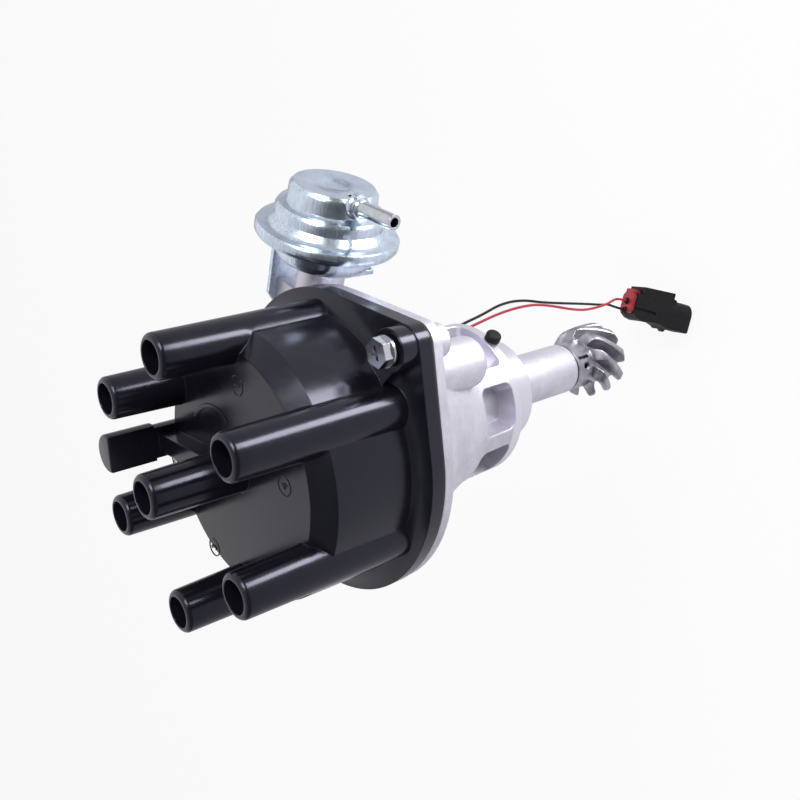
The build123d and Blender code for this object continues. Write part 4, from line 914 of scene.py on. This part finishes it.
# the wires' routes, in millimetres
BLACK_ROUTE = [(-15.42, 51.77, 53.5), (-16.98, 57.57, 53.5), (-18.5, 62.85, 49.0), (-18.85, 63.8, 41.5),
               (-17.5, 63.6, 28.0), (-11.5, 59.6, 10.0), (-2.0, 53.2, -5.5), (7.8, 47.8, -22.5), (14.1, 45.4, -43.6),
               (15.5, 47.2, -58.0), (18.2, 49.6, -74.6), (17.4, 50.4, -90.5), (13.6, 49.8, -106.4), (8.2, 49.5, -138.5),
               (5.3, 49.2, -153.8), (3.9, 52.2, -162.6)]
RED_ROUTE = [(-12.53, 52.55, 53.5), (-14.08, 58.34, 53.5), (-15.4, 63.7, 49.0), (-15.57, 64.7, 41.5),
             (-14.3, 63.4, 28.5), (-8.6, 58.4, 10.5), (0.8, 50.0, -7.0), (9.2, 44.2, -25.5), (13.0, 43.0, -48.5),
             (14.9, 45.2, -66.0), (15.5, 46.7, -83.2), (14.4, 47.4, -100.3), (6.6, 45.9, -128.9), (5.6, 46.3, -143.0),
             (5.9, 47.2, -155.5), (5.6, 51.0, -165.0)]
CONNECTOR_START = (3.4, 49.6, -175.8)
CONNECTOR_END = (-9.4, 32.1, -211.6)
CONNECTOR_ACROSS = (0.93, 0.0, -0.32)
WIRE_PLACES = (-4.2, 0.8)       # across the connector
WIRE_ENDS = (-5.6, -0.6)        # along it, outside its seals


class BuildLead(bpy.types.Operator):
    """The two wires and the connector"""
    bl_idname = "distributor.lead"
    bl_label = "Lead and connector"

    def wire(self, name, node, route, across, key, diameter, pieces):
        start = Vector(CONNECTOR_START)
        place = placed(CONNECTOR_ACROSS, Vector(CONNECTOR_END) - start, start)
        points = [Vector(p) for p in route] + [place @ Vector((across, 0, along)) for along in WIRE_ENDS]
        curve = bpy.data.curves.new(name, "CURVE")
        curve.dimensions = "3D"
        curve.bevel_depth = diameter / 2
        curve.bevel_resolution = 5
        curve.resolution_u = 10
        spline = curve.splines.new("NURBS")
        spline.points.add(len(points) - 1)
        for point, at in zip(spline.points, points):
            point.co = (*(at * MM), 1.0)
        spline.order_u = 3
        spline.use_endpoint_u = True
        piece = new_object(name, curve)
        curve.materials.append(SURFACES[key])
        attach(piece, "fixed_body")
        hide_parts(node)

    def execute(self, context):
        diameter = context.scene.distributor_lead.wire_diameter
        body = dressed("connector_body", "connector_housing", SURFACES["connector"])
        lock = dressed("connector_lock", "connector_red_lock", SURFACES["lock"])
        pieces = [body, lock, NODES["connector_seals"], NODES["connector_terminals"]]
        self.wire("wire_black", "lead_wire_black", BLACK_ROUTE, WIRE_PLACES[0], "black wire", diameter, pieces)
        self.wire("wire_red", "lead_wire_red", RED_ROUTE, WIRE_PLACES[1], "red wire", diameter, pieces)
        return {"FINISHED"}


OPERATORS = (BuildStage, BuildFinishes, BuildLead, BuildCasting, BuildCap, BuildFastenings, BuildVacuumUnit,
             BuildSprings, BuildDrive)
SETTINGS = {
    "distributor_stage": StageSettings, "distributor_colours": ColourSettings, "distributor_figures": FigureSettings,
    "distributor_washers": WasherSettings, "distributor_springs": SpringSettings, "distributor_lead": LeadSettings,
}


class DistributorPanel(bpy.types.Panel):
    """Sizes, colours and one button for each piece"""
    bl_idname = "VIEW3D_PT_distributor"
    bl_label = "Ignition distributor"
    bl_space_type = "VIEW_3D"
    bl_region_type = "UI"
    bl_category = "Distributor"

    def draw(self, context):
        for group, kind in SETTINGS.items():
            box = self.layout.box()
            for name in kind.__annotations__:
                box.prop(getattr(context.scene, group), name)
        for operator in OPERATORS:
            self.layout.operator(operator.bl_idname)


CLASSES = tuple(SETTINGS.values()) + OPERATORS + (DistributorPanel,)


def register():
    for item in CLASSES:
        bpy.utils.register_class(item)
    for name, kind in SETTINGS.items():
        setattr(bpy.types.Scene, name, bpy.props.PointerProperty(type=kind))


def unregister():
    for name in SETTINGS:
        delattr(bpy.types.Scene, name)
    for item in reversed(CLASSES):
        bpy.utils.unregister_class(item)


def main():
    register()
    for operator in OPERATORS:
        group, name = operator.bl_idname.split(".")
        getattr(getattr(bpy.ops, group), name)()


if __name__ == "__main__":
    main()
